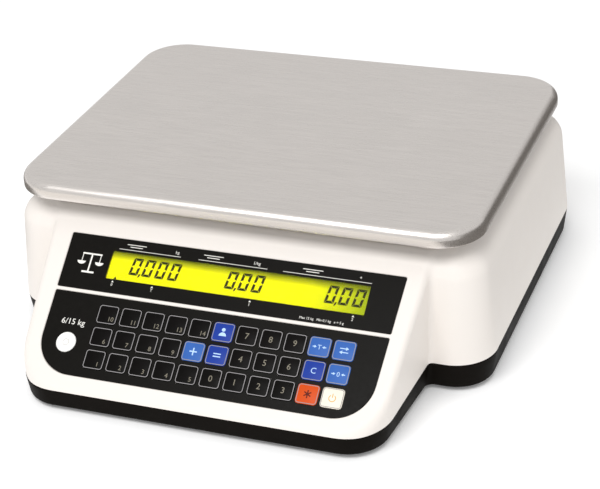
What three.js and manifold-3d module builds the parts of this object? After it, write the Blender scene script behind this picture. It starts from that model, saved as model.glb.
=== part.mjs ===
// A low retail bench scale: a white two-part housing with a sloping operator console,
// a pressed stainless platter on a cast spider over one load cell, a two-sided display,
// 33 short-travel keys and four screw feet.
// Millimetres. X is the operator's right, Y runs to the back, Z is up, feet stand on z = 0.

import * as THREE from 'three';
import { mergeVertices } from 'three/addons/utils/BufferGeometryUtils.js';
import Module from 'manifold-3d';

const wasm = await Module();
wasm.setup();

// ---- Driving dimensions --------------------------------------------------------------

// Housing: a drafted box under the platter and a tapering console in front of it.
const BASE_UNDERSIDE = 3;
const BOX_HALF_WIDTH = 172.5;
const BOX_FRONT = -82.8;
const BOX_REAR = 173.65;
const BOX_CORNER = 28;
const BOX_DRAFT = 0.079;
const DECK = 103;
const SHOULDER = 15;
const SHOULDER_EDGE = 4;
const CONSOLE_FRONT = -173.65;
const CONSOLE_HALF_REAR = 133.8;
const CONSOLE_HALF_FRONT = 126.4;
const CONSOLE_CORNER = 29.4;
const PARTING_FRONT = 16.3;
const PARTING_BOX = 23.1;
const BASE_TAPER = 0.128;
const WALL = 3;
const CORNER_STEPS = 8;

// Gaps that keep touching pieces apart.
const GAP = 0.3;

// Console slope and its two recessed panels, measured down the slope from the panel top.
const SLOPE = THREE.MathUtils.degToRad(37.5);
const PANEL_TOP_Y = -83.9;
const PANEL_TOP_Z = 85.4;
const PANEL_LEFT_TOP = -117;
const PANEL_LEFT_BOTTOM = -115.8;
const PANEL_RIGHT_TOP = 120.8;
const PANEL_RIGHT_BOTTOM = 116.5;
const RIB_TOP = 39.3;
const RIB_BOTTOM = 42.4;
const PANEL_LENGTH = 99.8;
const PANEL_CORNER = 26;
const PANEL_THICKNESS = 1;
const RECESS = 1.8;
const SLOPE_WALL = 3.4;

// Display: a clear window in the upper panel, with the crystal panel behind it.
const WINDOW_CENTRE_X = 7.6;
const WINDOW_WIDTH = 182.6;
const WINDOW_TOP = 9.3;
const WINDOW_HEIGHT = 20.2;
const LCD_DEPTH = 4;
const LCD_THICKNESS = 4;

// Keys: three rows of eleven.
const KEY_COLUMNS = 11;
const KEY_FIRST_X = -74;
const KEY_PITCH_X = 16.6;
const KEY_ROWS_S = [55, 71, 87];
const KEY_WIDTH = 14.6;
const KEY_HEIGHT = 13.4;
const KEY_CORNER = 2;
const KEY_PROUD = 0.25;
const KEY_THICKNESS = 1.35;
const SWITCH_RADIUS = 3;
const SWITCH_TOP = -1.6;
const KEY_BOARD_TOP = -3.8;
const KEY_BOARD_THICKNESS = 1.6;

// Spirit level in the lower panel.
const LEVEL_X = -98;
const LEVEL_S = 77.8;
const LEVEL_RADIUS = 7.4;
const LEVEL_DEPTH = 9;

// Platter: a pressed stainless tray turned upside down over the spider.
const PLATTER_HALF_WIDTH = 165;
const PLATTER_FRONT = -82.8;
const PLATTER_REAR = 172.5;
const PLATTER_TOP = 118.2;
const PLATTER_LIP = 10.3;
const PLATTER_EDGE = 6;
const PLATTER_CORNER = 32;
const PLATTER_SHEET = 1.2;
const PLATTER_MIDDLE_Y = (PLATTER_FRONT + PLATTER_REAR) / 2;

// Weighing train: base spacer, load cell across the scale, top spacer, spider.
const CELL_LENGTH = 130;
const CELL_WIDTH = 30;
const CELL_HEIGHT = 22;
const CELL_END = 36;
const CELL_HOLE_RADIUS = 7.5;
const CELL_HOLE_OFFSET = 13;
const BASE_SPACER = 10;
const TOP_SPACER = 6;
const SPIDER_BOTTOM = 105;
const SPIDER_ARM_HEIGHT = 8.4;
const SPIDER_ARM_WIDTH = 15;
const SPIDER_REACH_X = 120;
const SPIDER_REACH_Y = 88;
const SPIDER_POST_RADIUS = 9;
const SPIDER_HUB_WIDTH = 132;
const SPIDER_HUB_DEPTH = 56;
const COLUMN_GAP = 3.5;

// Levelling feet: a screw with a gripping wheel, standing on a swivelling rubber pad.
const FEET = {
  front_left: [-105, -145],
  front_right: [105, -145],
  rear_left: [-142, 144],
  rear_right: [142, 144],
};
const PAD_RADIUS = 10.5;
const PAD_THICKNESS = 2.4;
const FOOT_WHEEL_RADIUS = 12;
const FOOT_WHEEL_TOP = 8.2;
const STUD_RADIUS = 4;
const STUD_TOP = 20;
const FOOT_POCKET_RADIUS = 13.2;
const FOOT_POCKET_TOP = 9.2;
const BOSS_RADIUS = 16.2;
const BOSS_TOP = 12.2;
const NECK_RADIUS = 8;

// Back of the housing: customer display and mains inlet.
const REAR_WINDOW_WIDTH = 164;
const REAR_WINDOW_HEIGHT = 34;
const REAR_WINDOW_Z = 67;
const REAR_OPENING_MARGIN = 5;
const INLET_X = -118;
const INLET_Z = 44;
const INLET_FLANGE = [44, 34];
const INLET_OPENING = [36, 27];
const INLET_BODY = [27, 20];
const INLET_SOCKET = [22, 15.6];
const INLET_FLANGE_THICKNESS = 1.2;
const INLET_BODY_DEPTH = 18;
const INLET_SOCKET_DEPTH = 15;

// Electronics on the floor of the base.
const BATTERY_SIZE = [70, 101, 47];
const BATTERY_CENTRE = [124, 60];
const TRANSFORMER_SIZE = [56, 46, 44];
const TRANSFORMER_CENTRE = [-126, 108];
const BOARD_SIZE = [120, 74, 1.6];
const BOARD_CENTRE = [-14, 118];
const BOARD_LIFT = 6;

// Colours, roughness and metalness.
const LOOKS = {
  white: [0xf4efe8, 0.45, 0],
  black: [0x17140f, 0.6, 0],
  steel: [0xc6c1bd, 0.3, 1],
  aluminium: [0xb6b9bc, 0.45, 1],
  film: [0x16130f, 0.3, 0],
  clear: [0xdfe4e0, 0.1, 0],
  crystal: [0xe6dd1c, 0.35, 0],
  board: [0x1f5a34, 0.5, 0],
  rubber: [0x1b1b1b, 0.9, 0],
  smoked: [0x2a2f2c, 0.1, 0],
  grey: [0x565a5e, 0.6, 0],
  copper: [0x8a5a33, 0.5, 0.4],
  keyBlack: [0x14120f, 0.35, 0],
  keyBlue: [0x2b56b4, 0.35, 0],
  keyLightBlue: [0x5f9be0, 0.35, 0],
  keyOrange: [0xe05a1c, 0.35, 0],
  keyWhite: [0xf6f3ea, 0.35, 0],
};

// ---- Solids --------------------------------------------------------------------------

// A closed geometry as a manifold solid.
function solid(geometry) {
  const bare = geometry.index ? geometry.toNonIndexed() : geometry.clone();
  bare.deleteAttribute('normal');
  bare.deleteAttribute('uv');
  const merged = mergeVertices(bare, 1e-4);
  return new wasm.Manifold(new wasm.Mesh({
    numProp: 3,
    vertProperties: new Float32Array(merged.attributes.position.array),
    triVerts: new Uint32Array(merged.index.array),
  }));
}

// A manifold solid as a three.js geometry.
function geometryOf(manifold) {
  const mesh = manifold.getMesh();
  const geometry = new THREE.BufferGeometry();
  geometry.setAttribute('position', new THREE.BufferAttribute(mesh.vertProperties, 3));
  geometry.setIndex(new THREE.BufferAttribute(mesh.triVerts, 1));
  const flat = geometry.toNonIndexed();
  flat.computeVertexNormals();
  return flat;
}

function join(first, ...others) {
  return others.reduce((whole, piece) => whole.add(piece), first);
}

function cut(whole, ...cutters) {
  return cutters.reduce((rest, cutter) => rest.subtract(cutter), whole);
}

// Corner list [x, y, radius], counter-clockwise, to outline points with true arcs.
function outline(corners, steps = CORNER_STEPS) {
  return corners.flatMap(([x, y, radius], i) => {
    const corner = new THREE.Vector2(x, y);
    if (radius === 0) return [corner];
    const [beforeX, beforeY] = corners.at(i - 1);
    const [afterX, afterY] = corners[(i + 1) % corners.length];
    const toBefore = new THREE.Vector2(beforeX, beforeY).sub(corner).normalize();
    const toAfter = new THREE.Vector2(afterX, afterY).sub(corner).normalize();
    const half = Math.acos(toBefore.dot(toAfter)) / 2;
    const bisector = toBefore.clone().add(toAfter).normalize();
    const centre = corner.clone().addScaledVector(bisector, radius / Math.sin(half));
    const start = corner.clone().addScaledVector(toBefore, radius / Math.tan(half)).sub(centre);
    return Array.from({ length: steps + 1 }, (_, k) => {
      const turn = ((Math.PI - 2 * half) * k) / steps;
      return start.clone().rotateAround(new THREE.Vector2(), turn).add(centre);
    });
  });
}

// A rectangle with round corners, centred on (x, y).
function plate(x, y, width, height, radius, steps) {
  const [w, h] = [width / 2, height / 2];
  const signs = [[-1, -1], [1, -1], [1, 1], [-1, 1]];
  return outline(signs.map(([i, j]) => [x + i * w, y + j * h, radius]), steps);
}

// Outline points pushed from z = low to z = high, with optional holes.
function slab(points, low, high, holes = []) {
  const shape = new THREE.Shape(points);
  shape.holes = holes.map((hole) => new THREE.Path(hole));
  const geometry = new THREE.ExtrudeGeometry(shape, { depth: high - low, bevelEnabled: false });
  return geometry.translate(0, 0, low);
}

function circle(x, y, radius, steps = 24) {
  return Array.from({ length: steps }, (_, k) => {
    const turn = (2 * Math.PI * k) / steps;
    return new THREE.Vector2(x + radius * Math.cos(turn), y + radius * Math.sin(turn));
  });
}

function disc(x, y, radius, low, high, steps) {
  return slab(circle(x, y, radius, steps), low, high);
}

// A box from its middle in plan, its size and the height of its underside.
function block(x, y, width, depth, low, high) {
  return slab(plate(x, y, width, depth, 0), low, high);
}

// Stacked rings of equal point count, as one closed skin with flat ends.
function loft(rings) {
  const count = rings[0].points.length;
  const positions = rings.flatMap(({ points, z }) => points.flatMap((p) => [p.x, p.y, z]));
  const index = [];
  for (let ring = 0; ring + 1 < rings.length; ring += 1) {
    for (let k = 0; k < count; k += 1) {
      const next = (k + 1) % count;
      const [a, b] = [ring * count + k, ring * count + next];
      index.push(a, b, b + count, a, b + count, a + count);
    }
  }
  const top = (rings.length - 1) * count;
  THREE.ShapeUtils.triangulateShape(rings[0].points, []).forEach(([a, b, c]) => {
    index.push(a, c, b);
  });
  THREE.ShapeUtils.triangulateShape(rings.at(-1).points, []).forEach(([a, b, c]) => {
    index.push(top + a, top + b, top + c);
  });
  const geometry = new THREE.BufferGeometry();
  geometry.setAttribute('position', new THREE.Float32BufferAttribute(positions, 3));
  geometry.setIndex(index);
  return geometry;
}

// ---- Placing -------------------------------------------------------------------------

const model = new THREE.Group();

// The console frame: local X across, local Y up the slope, local Z out of the surface.
const slopeFrame = new THREE.Group();
slopeFrame.position.set(0, PANEL_TOP_Y, PANEL_TOP_Z);
slopeFrame.rotation.x = SLOPE;
slopeFrame.updateMatrix();
model.add(slopeFrame);

function boxRearAt(z) {
  return BOX_REAR - BOX_DRAFT * (z - PARTING_BOX);
}

// A frame on the drafted rear face: local X runs to the operator's left, local Z points back.
function rearFrame(x, z) {
  const frame = new THREE.Group();
  frame.position.set(x, boxRearAt(z), z);
  frame.rotation.set(Math.atan(BOX_DRAFT) - Math.PI / 2, 0, Math.PI);
  frame.updateMatrix();
  model.add(frame);
  return frame;
}
const rearDisplayFrame = rearFrame(0, REAR_WINDOW_Z);
const inletFrame = rearFrame(INLET_X, INLET_Z);

function addPiece(name, geometry, look, parent = model) {
  const [color, roughness, metalness] = LOOKS[look];
  const mesh = new THREE.Mesh(
    geometry,
    new THREE.MeshStandardMaterial({ color, roughness, metalness }),
  );
  mesh.name = name;
  parent.add(mesh);
}

// A geometry made in a frame, moved into the model's own frame as a solid.
function solidIn(frame, geometry) {
  return solid(geometry.clone().applyMatrix4(frame.matrix));
}

// ---- Housing -------------------------------------------------------------------------

function boxOutline(inset, radius = BOX_CORNER - inset) {
  const [x, front, rear] = [BOX_HALF_WIDTH - inset, BOX_FRONT + inset, BOX_REAR - inset];
  return outline([[-x, front, radius], [x, front, radius], [x, rear, radius], [-x, rear, radius]]);
}

// The console reaches into the box, so that the two always join.
function consoleOutline(inset) {
  const reach = 40;
  const taper = (CONSOLE_HALF_REAR - CONSOLE_HALF_FRONT) / (BOX_FRONT - CONSOLE_FRONT);
  const rear = CONSOLE_HALF_REAR + reach * taper - inset;
  const front = CONSOLE_HALF_FRONT + inset * taper - inset;
  const radius = CONSOLE_CORNER - inset;
  const y = CONSOLE_FRONT + inset;
  return outline([
    [-front, y, radius],
    [front, y, radius],
    [rear, BOX_FRONT + reach, 0],
    [-rear, BOX_FRONT + reach, 0],
  ]);
}

// The drafted box with its bevelled shoulder, shrunk inwards by the given wall.
function boxBody(bottom, wall) {
  const draftInset = (z) => BOX_DRAFT * (z - PARTING_BOX);
  const rings = [{ points: boxOutline(draftInset(bottom) + wall), z: bottom }];
  const radius = SHOULDER_EDGE - wall;
  const start = DECK - SHOULDER - SHOULDER_EDGE * Math.tan(Math.PI / 8);
  const steps = 4;
  for (let k = 0; k <= steps; k += 1) {
    const turn = (Math.PI / 4) * (k / steps);
    const z = start + radius * Math.sin(turn);
    const inset = draftInset(z) + SHOULDER_EDGE - radius * Math.cos(turn);
    rings.push({ points: boxOutline(inset), z });
  }
  const top = DECK - wall;
  const bevel = SHOULDER + wall * Math.tan(Math.PI / 8);
  rings.push({ points: boxOutline(draftInset(top) + bevel), z: top });
  return solid(loft(rings));
}

// Everything in front of and above the console slope, lowered into it by depth.
function aboveSlope(depth) {
  const far = 400;
  return solidIn(slopeFrame, slab(plate(0, 0, far, far, 0), -depth, far));
}

function consoleBody(bottom, wall, slopeDepth) {
  return cut(solid(slab(consoleOutline(wall), bottom, DECK)), aboveSlope(slopeDepth));
}

// All the space under the parting line, which rises from the console's front to the box.
function belowParting(drop) {
  const far = 400;
  const side = [
    [-far, -far],
    [far, -far],
    [far, PARTING_BOX - drop],
    [BOX_FRONT, PARTING_BOX - drop],
    [CONSOLE_FRONT, PARTING_FRONT - drop],
    [-far, PARTING_FRONT - drop],
  ].map(([y, z]) => new THREE.Vector2(y, z));
  const prism = slab(side, -far, far);
  return solid(prism.applyMatrix4(new THREE.Matrix4().makeBasis(
    new THREE.Vector3(0, 1, 0),
    new THREE.Vector3(0, 0, 1),
    new THREE.Vector3(1, 0, 0),
  )));
}

// ---- Console panels and keys ---------------------------------------------------------

function panelLeftAt(s) {
  return PANEL_LEFT_TOP + ((PANEL_LEFT_BOTTOM - PANEL_LEFT_TOP) * s) / PANEL_LENGTH;
}

function panelRightAt(s) {
  return PANEL_RIGHT_TOP + ((PANEL_RIGHT_BOTTOM - PANEL_RIGHT_TOP) * s) / PANEL_LENGTH;
}

// A stretch of the panel between two distances down the slope, with its lower corners round.
function panelOutline(top, bottom, radius, grow) {
  return outline([
    [panelLeftAt(bottom) - grow, -bottom - grow, radius],
    [panelRightAt(bottom) + grow, -bottom - grow, radius],
    [panelRightAt(top) + grow, -top + grow, 0],
    [panelLeftAt(top) - grow, -top + grow, 0],
  ]);
}

const displayPanelOutline = (grow) => panelOutline(0, RIB_TOP, 0, grow);
const keypadPanelOutline = (grow) => panelOutline(RIB_BOTTOM, PANEL_LENGTH, PANEL_CORNER, grow);

function windowOutline(grow) {
  const y = -WINDOW_TOP - WINDOW_HEIGHT / 2;
  return plate(WINDOW_CENTRE_X, y, WINDOW_WIDTH + 2 * grow, WINDOW_HEIGHT + 2 * grow, 0);
}

function keyCentre(row, column) {
  return [KEY_FIRST_X + (column - 1) * KEY_PITCH_X, -KEY_ROWS_S[row - 1]];
}

function keyOutline(row, column, grow) {
  const size = [KEY_WIDTH + 2 * grow, KEY_HEIGHT + 2 * grow];
  return plate(...keyCentre(row, column), ...size, KEY_CORNER + grow, 2);
}

// Every key's place, name and colour, from the top row down.
const KEY_NAMES = [
  ['preset_10', 'preset_11', 'preset_12', 'preset_13', 'preset_14', 'user',
    'digit_7', 'digit_8', 'digit_9', 'tare', 'change'],
  ['preset_6', 'preset_7', 'preset_8', 'preset_9', 'add', 'fixed_price',
    'digit_4', 'digit_5', 'digit_6', 'clear', 'zero'],
  ['preset_1', 'preset_2', 'preset_3', 'preset_4', 'preset_5', 'digit_0',
    'digit_1', 'digit_2', 'digit_3', 'total', 'on_off'],
];
const KEY_LOOKS = {
  user: 'keyBlue',
  tare: 'keyLightBlue',
  change: 'keyLightBlue',
  add: 'keyLightBlue',
  fixed_price: 'keyBlue',
  clear: 'keyBlue',
  zero: 'keyLightBlue',
  total: 'keyOrange',
  on_off: 'keyWhite',
};
const keys = KEY_NAMES.flatMap((names, r) => names.map((name, c) => ({
  name,
  row: r + 1,
  column: c + 1,
  look: KEY_LOOKS[name] ?? 'keyBlack',
})));

function addKeys() {
  const low = KEY_PROUD - KEY_THICKNESS;
  keys.forEach(({ name, row, column, look }) => {
    const [x, y] = keyCentre(row, column);
    const top = plate(0, 0, KEY_WIDTH, KEY_HEIGHT, KEY_CORNER, 2);
    const key = new THREE.Group();
    key.position.set(x, y, low);
    slopeFrame.add(key);
    addPiece(`key_${name}`, slab(top, 0, KEY_THICKNESS), look, key);
  });
}

function addPanels() {
  const top = -0.1;
  const low = top - PANEL_THICKNESS;
  const displayPanel = slab(displayPanelOutline(0), low, top, [windowOutline(0)]);
  addPiece('display_panel', displayPanel, 'film', slopeFrame);
  const holes = keys.map(({ row, column }) => keyOutline(row, column, GAP));
  holes.push(circle(LEVEL_X, -LEVEL_S, LEVEL_RADIUS));
  addPiece('keypad_panel', slab(keypadPanelOutline(0), low, top, holes), 'film', slopeFrame);
  addPiece('display_window', slab(windowOutline(-GAP), low, top), 'clear', slopeFrame);
  const level = disc(LEVEL_X, -LEVEL_S, LEVEL_RADIUS - GAP, -LEVEL_DEPTH, top);
  addPiece('spirit_level', level, 'keyWhite', slopeFrame);
}

function addFrontDisplay() {
  const y = -WINDOW_TOP - WINDOW_HEIGHT / 2;
  const glass = plate(WINDOW_CENTRE_X, y, WINDOW_WIDTH + 8, WINDOW_HEIGHT + 8, 0);
  const lcd = slab(glass, -LCD_DEPTH - LCD_THICKNESS, -LCD_DEPTH);
  addPiece('front_lcd', lcd, 'crystal', slopeFrame);
}

// The key board: one plate with a switch dome standing up under each key.
function addKeyBoard() {
  const [firstX] = keyCentre(1, 1);
  const [lastX] = keyCentre(1, KEY_COLUMNS);
  const middleS = (KEY_ROWS_S[0] + KEY_ROWS_S[2]) / 2;
  const width = lastX - firstX + 24;
  const height = KEY_ROWS_S[2] - KEY_ROWS_S[0] + 17;
  const base = KEY_BOARD_TOP - KEY_BOARD_THICKNESS;
  const points = plate((firstX + lastX) / 2, -middleS, width, height, 0);
  const sink = 0.2;
  const board = keys.reduce((whole, { row, column }) => {
    const [x, y] = keyCentre(row, column);
    return whole.add(solid(disc(x, y, SWITCH_RADIUS, KEY_BOARD_TOP - sink, SWITCH_TOP, 10)));
  }, solid(slab(points, base, KEY_BOARD_TOP)));
  addPiece('key_board', geometryOf(board), 'board', slopeFrame);
}

// The openings of the console surface: two shallow recesses and what passes through them.
function consoleCutters() {
  const through = SLOPE_WALL + 2;
  const rise = 4;
  const recesses = [displayPanelOutline(GAP), keypadPanelOutline(GAP)]
    .map((points) => slab(points, -RECESS, rise));
  const slotWidth = (KEY_COLUMNS - 1) * KEY_PITCH_X + 12;
  const slotX = KEY_FIRST_X + ((KEY_COLUMNS - 1) * KEY_PITCH_X) / 2;
  const slots = KEY_ROWS_S.map((s) => slab(plate(slotX, -s, slotWidth, 11, 0), -through, 0));
  const level = disc(LEVEL_X, -LEVEL_S, LEVEL_RADIUS, -through, 0);
  const lcd = slab(windowOutline(1.5), -through, 0);
  return [...recesses, ...slots, level, lcd].map((piece) => solidIn(slopeFrame, piece));
}

// ---- Back of the housing -------------------------------------------------------------

function rearWindowOutline(grow) {
  const radius = Math.max(3 + grow, 0);
  return plate(0, 0, REAR_WINDOW_WIDTH + 2 * grow, REAR_WINDOW_HEIGHT + 2 * grow, radius, 3);
}

function inletOutline([width, height], grow, radius) {
  return plate(0, 0, width + 2 * grow, height + 2 * grow, radius, 3);
}

function rearCutters() {
  const through = WALL + 3;
  const rise = 6;
  return [
    solidIn(rearDisplayFrame, slab(rearWindowOutline(GAP), -RECESS, rise)),
    solidIn(rearDisplayFrame, slab(rearWindowOutline(-REAR_OPENING_MARGIN), -through, 0)),
    solidIn(inletFrame, slab(inletOutline(INLET_FLANGE, GAP, 2), -RECESS, rise)),
    solidIn(inletFrame, slab(inletOutline(INLET_OPENING, 0, 0), -through, 0)),
  ];
}

function addRearDisplay() {
  const front = -0.2;
  const window = slab(rearWindowOutline(0), front - 0.9, front);
  addPiece('rear_window', window, 'smoked', rearDisplayFrame);
  const size = [REAR_WINDOW_WIDTH - 4, REAR_WINDOW_HEIGHT - 2];
  const glass = slab(plate(0, 0, ...size, 0), -WALL - 5, -WALL - 1);
  addPiece('rear_lcd', glass, 'crystal', rearDisplayFrame);
}

// The mains inlet: a flange on the rear face and a socket in its body.
function addInlet() {
  const face = INLET_FLANGE_THICKNESS - RECESS + GAP;
  const flange = solid(slab(inletOutline(INLET_FLANGE, 0, 2), GAP - RECESS, face));
  const body = solid(slab(inletOutline(INLET_BODY, 0, 0), -INLET_BODY_DEPTH, face));
  const socket = solid(slab(plate(0, 0, ...INLET_SOCKET, 0), -INLET_SOCKET_DEPTH, 2));
  addPiece('power_inlet', geometryOf(cut(join(flange, body), socket)), 'black', inletFrame);
}

// ---- Covers --------------------------------------------------------------------------

// The spider's column: where it stands over the load cell's free end.
const COLUMN_X = CELL_LENGTH / 2 - CELL_END / 2;
const COLUMN_WIDTH = CELL_END - 4;
const COLUMN_DEPTH = CELL_WIDTH + 4;

function addTopCover() {
  const low = 0;
  const outer = join(boxBody(low, 0), consoleBody(low, 0, 0));
  const inner = join(boxBody(low - 1, WALL), consoleBody(low - 1, WALL, SLOPE_WALL));
  const columnHole = solid(block(
    COLUMN_X,
    PLATTER_MIDDLE_Y,
    COLUMN_WIDTH + 2 * COLUMN_GAP,
    COLUMN_DEPTH + 2 * COLUMN_GAP,
    DECK - 2 * WALL,
    DECK + 1,
  ));
  const cutters = [inner, belowParting(0), columnHole, ...consoleCutters(), ...rearCutters()];
  addPiece('top_cover', geometryOf(cut(outer, ...cutters)), 'white');
}

// The base's outer form narrows towards the table.
function baseBody(wall, floor) {
  const rings = (points) => [floor, PARTING_BOX].map((z) => ({
    points: points(BASE_TAPER * (PARTING_BOX - z) + wall),
    z,
  }));
  return join(solid(loft(rings(boxOutline))), solid(loft(rings(consoleOutline))));
}

function footBoss([x, y]) {
  return join(
    solid(disc(x, y, BOSS_RADIUS, BASE_UNDERSIDE, BOSS_TOP)),
    solid(disc(x, y, NECK_RADIUS, BASE_UNDERSIDE, STUD_TOP)),
  );
}

function footHole([x, y]) {
  return join(
    solid(disc(x, y, FOOT_POCKET_RADIUS, BASE_UNDERSIDE - 1, FOOT_POCKET_TOP)),
    solid(disc(x, y, STUD_RADIUS + GAP, BASE_UNDERSIDE - 1, STUD_TOP + 1, 16)),
  );
}

// Stiffening ribs on the floor of the base.
function baseRibs() {
  const [sideX, top, thickness] = [84, 13, 2];
  const low = BASE_UNDERSIDE + 1;
  return [
    solid(block(-sideX, 40, thickness, 236, low, top)),
    solid(block(sideX, 40, thickness, 236, low, top)),
    solid(block(0, -10, 2 * sideX, thickness, low, top)),
    solid(block(0, -78, 2 * sideX, thickness, low, top)),
  ];
}

function addBaseCover() {
  const hollow = baseBody(WALL, BASE_UNDERSIDE + WALL);
  const lid = solid(block(0, 0, 400, 400, PARTING_BOX - 1, PARTING_BOX + 30));
  const tray = cut(baseBody(0, BASE_UNDERSIDE), hollow, lid);
  const spots = Object.values(FEET);
  const filled = join(tray, ...baseRibs(), ...spots.map(footBoss));
  const open = cut(filled, ...spots.map(footHole));
  const low = open.intersect(belowParting(GAP));
  addPiece('base_cover', geometryOf(low), 'black');
}

// ---- Platter and weighing train ------------------------------------------------------

function platterOutline(inset) {
  const x = PLATTER_HALF_WIDTH - inset;
  const [front, rear] = [PLATTER_FRONT + inset, PLATTER_REAR - inset];
  const r = PLATTER_CORNER - inset;
  return outline([[-x, front, r], [x, front, r], [x, rear, r], [-x, rear, r]]);
}

// The pressed tray's skin, moved inwards by the sheet's thickness for its inside.
function platterBody(bottom, sheet) {
  const rings = [{ points: platterOutline(sheet), z: bottom }];
  const radius = PLATTER_EDGE - sheet;
  const steps = 4;
  for (let k = 0; k <= steps; k += 1) {
    const turn = (Math.PI / 2) * (k / steps);
    rings.push({
      points: platterOutline(sheet + radius * (1 - Math.cos(turn))),
      z: PLATTER_TOP - PLATTER_EDGE + radius * Math.sin(turn),
    });
  }
  return solid(loft(rings));
}

function addPlatter() {
  const bottom = PLATTER_TOP - PLATTER_LIP;
  const tray = cut(platterBody(bottom, 0), platterBody(bottom - 1, PLATTER_SHEET));
  addPiece('platter', geometryOf(tray), 'steel');
}

const CELL_BOTTOM = BASE_UNDERSIDE + WALL + GAP + BASE_SPACER + GAP;
const CELL_TOP = CELL_BOTTOM + CELL_HEIGHT;
const COLUMN_BOTTOM = CELL_TOP + GAP + TOP_SPACER + GAP;

// The load cell: a bar with the double eye of thinned webs milled through its middle.
function addLoadCell() {
  const y = PLATTER_MIDDLE_Y;
  const bar = solid(block(0, y, CELL_LENGTH, CELL_WIDTH, CELL_BOTTOM, CELL_TOP));
  const across = new THREE.Matrix4().makeRotationX(Math.PI / 2);
  const middle = (CELL_BOTTOM + CELL_TOP) / 2;
  const eyes = [-CELL_HOLE_OFFSET, CELL_HOLE_OFFSET].map((x) => {
    const pin = disc(x, 0, CELL_HOLE_RADIUS, -CELL_WIDTH, CELL_WIDTH, 20);
    return solid(pin.applyMatrix4(across).translate(0, y, middle));
  });
  const slot = solid(block(0, y, 2 * CELL_HOLE_OFFSET, CELL_WIDTH + 2, middle - 3, middle + 3));
  addPiece('load_cell', geometryOf(cut(bar, ...eyes, slot)), 'aluminium');
  const foot = block(-COLUMN_X, y, COLUMN_WIDTH, CELL_WIDTH, CELL_BOTTOM - GAP - BASE_SPACER,
    CELL_BOTTOM - GAP);
  addPiece('cell_base_spacer', foot, 'steel');
  const head = block(COLUMN_X, y, COLUMN_WIDTH, CELL_WIDTH, CELL_TOP + GAP,
    CELL_TOP + GAP + TOP_SPACER);
  addPiece('cell_top_spacer', head, 'steel');
}

// The cast spider: a column through the deck, a hub plate and four arms to the corner posts.
function addSpider() {
  const y = PLATTER_MIDDLE_Y;
  const top = SPIDER_BOTTOM + SPIDER_ARM_HEIGHT;
  const postTop = PLATTER_TOP - PLATTER_SHEET - GAP;
  const column = block(COLUMN_X, y, COLUMN_WIDTH, COLUMN_DEPTH, COLUMN_BOTTOM, top);
  const hub = block(0, y, SPIDER_HUB_WIDTH, SPIDER_HUB_DEPTH, SPIDER_BOTTOM, top);
  const angle = Math.atan2(SPIDER_REACH_Y, SPIDER_REACH_X);
  const length = 2 * Math.hypot(SPIDER_REACH_X, SPIDER_REACH_Y);
  const beams = [angle, -angle].map((turn) => {
    const beam = block(0, 0, length, SPIDER_ARM_WIDTH, SPIDER_BOTTOM, top);
    return solid(beam.rotateZ(turn).translate(0, y, 0));
  });
  const posts = [[-1, -1], [1, -1], [1, 1], [-1, 1]].map(([i, j]) => solid(disc(
    i * SPIDER_REACH_X,
    y + j * SPIDER_REACH_Y,
    SPIDER_POST_RADIUS,
    SPIDER_BOTTOM,
    postTop,
  )));
  const spider = join(solid(hub), solid(column), ...beams, ...posts);
  addPiece('platter_support', geometryOf(spider), 'aluminium');
}

// ---- Feet ----------------------------------------------------------------------------

function addFeet() {
  Object.entries(FEET).forEach(([place, [x, y]]) => {
    const pad = new THREE.Group();
    pad.position.set(x, y, 0);
    model.add(pad);
    addPiece(`foot_pad_${place}`, disc(0, 0, PAD_RADIUS, 0, PAD_THICKNESS), 'rubber', pad);
    const wheel = solid(disc(0, 0, FOOT_WHEEL_RADIUS, PAD_THICKNESS + GAP, FOOT_WHEEL_TOP));
    const stud = solid(disc(0, 0, STUD_RADIUS, FOOT_WHEEL_TOP - 1, STUD_TOP - 1, 16));
    addPiece(`foot_screw_${place}`, geometryOf(join(wheel, stud)), 'black', pad);
  });
}

// ---- Electronics ---------------------------------------------------------------------

const FLOOR = BASE_UNDERSIDE + WALL + GAP;

function addBattery() {
  const [width, depth, height] = BATTERY_SIZE;
  const body = solid(block(...BATTERY_CENTRE, width, depth, FLOOR, FLOOR + height));
  const [x, y] = BATTERY_CENTRE;
  const lidTop = FLOOR + height + 2;
  const lid = solid(block(x, y, width - 6, depth - 6, FLOOR + height - 1, lidTop));
  const tabs = [-1, 1].map((side) => solid(block(
    x + side * 20,
    y - depth / 2 + 10,
    5,
    1,
    FLOOR + height,
    lidTop + 6,
  )));
  addPiece('battery', geometryOf(join(body, lid, ...tabs)), 'grey');
}

// The mains transformer: a laminated core with its winding standing proud on both sides.
function addTransformer() {
  const [x, y] = TRANSFORMER_CENTRE;
  const [width, depth, height] = TRANSFORMER_SIZE;
  const core = solid(block(x, y, width, depth - 16, FLOOR, FLOOR + height));
  const winding = solid(block(x, y, width - 22, depth, FLOOR + 7, FLOOR + height - 7));
  const ears = solid(block(x, y, width + 16, 14, FLOOR, FLOOR + 2));
  addPiece('power_transformer', geometryOf(join(core, winding, ears)), 'copper');
}

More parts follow.
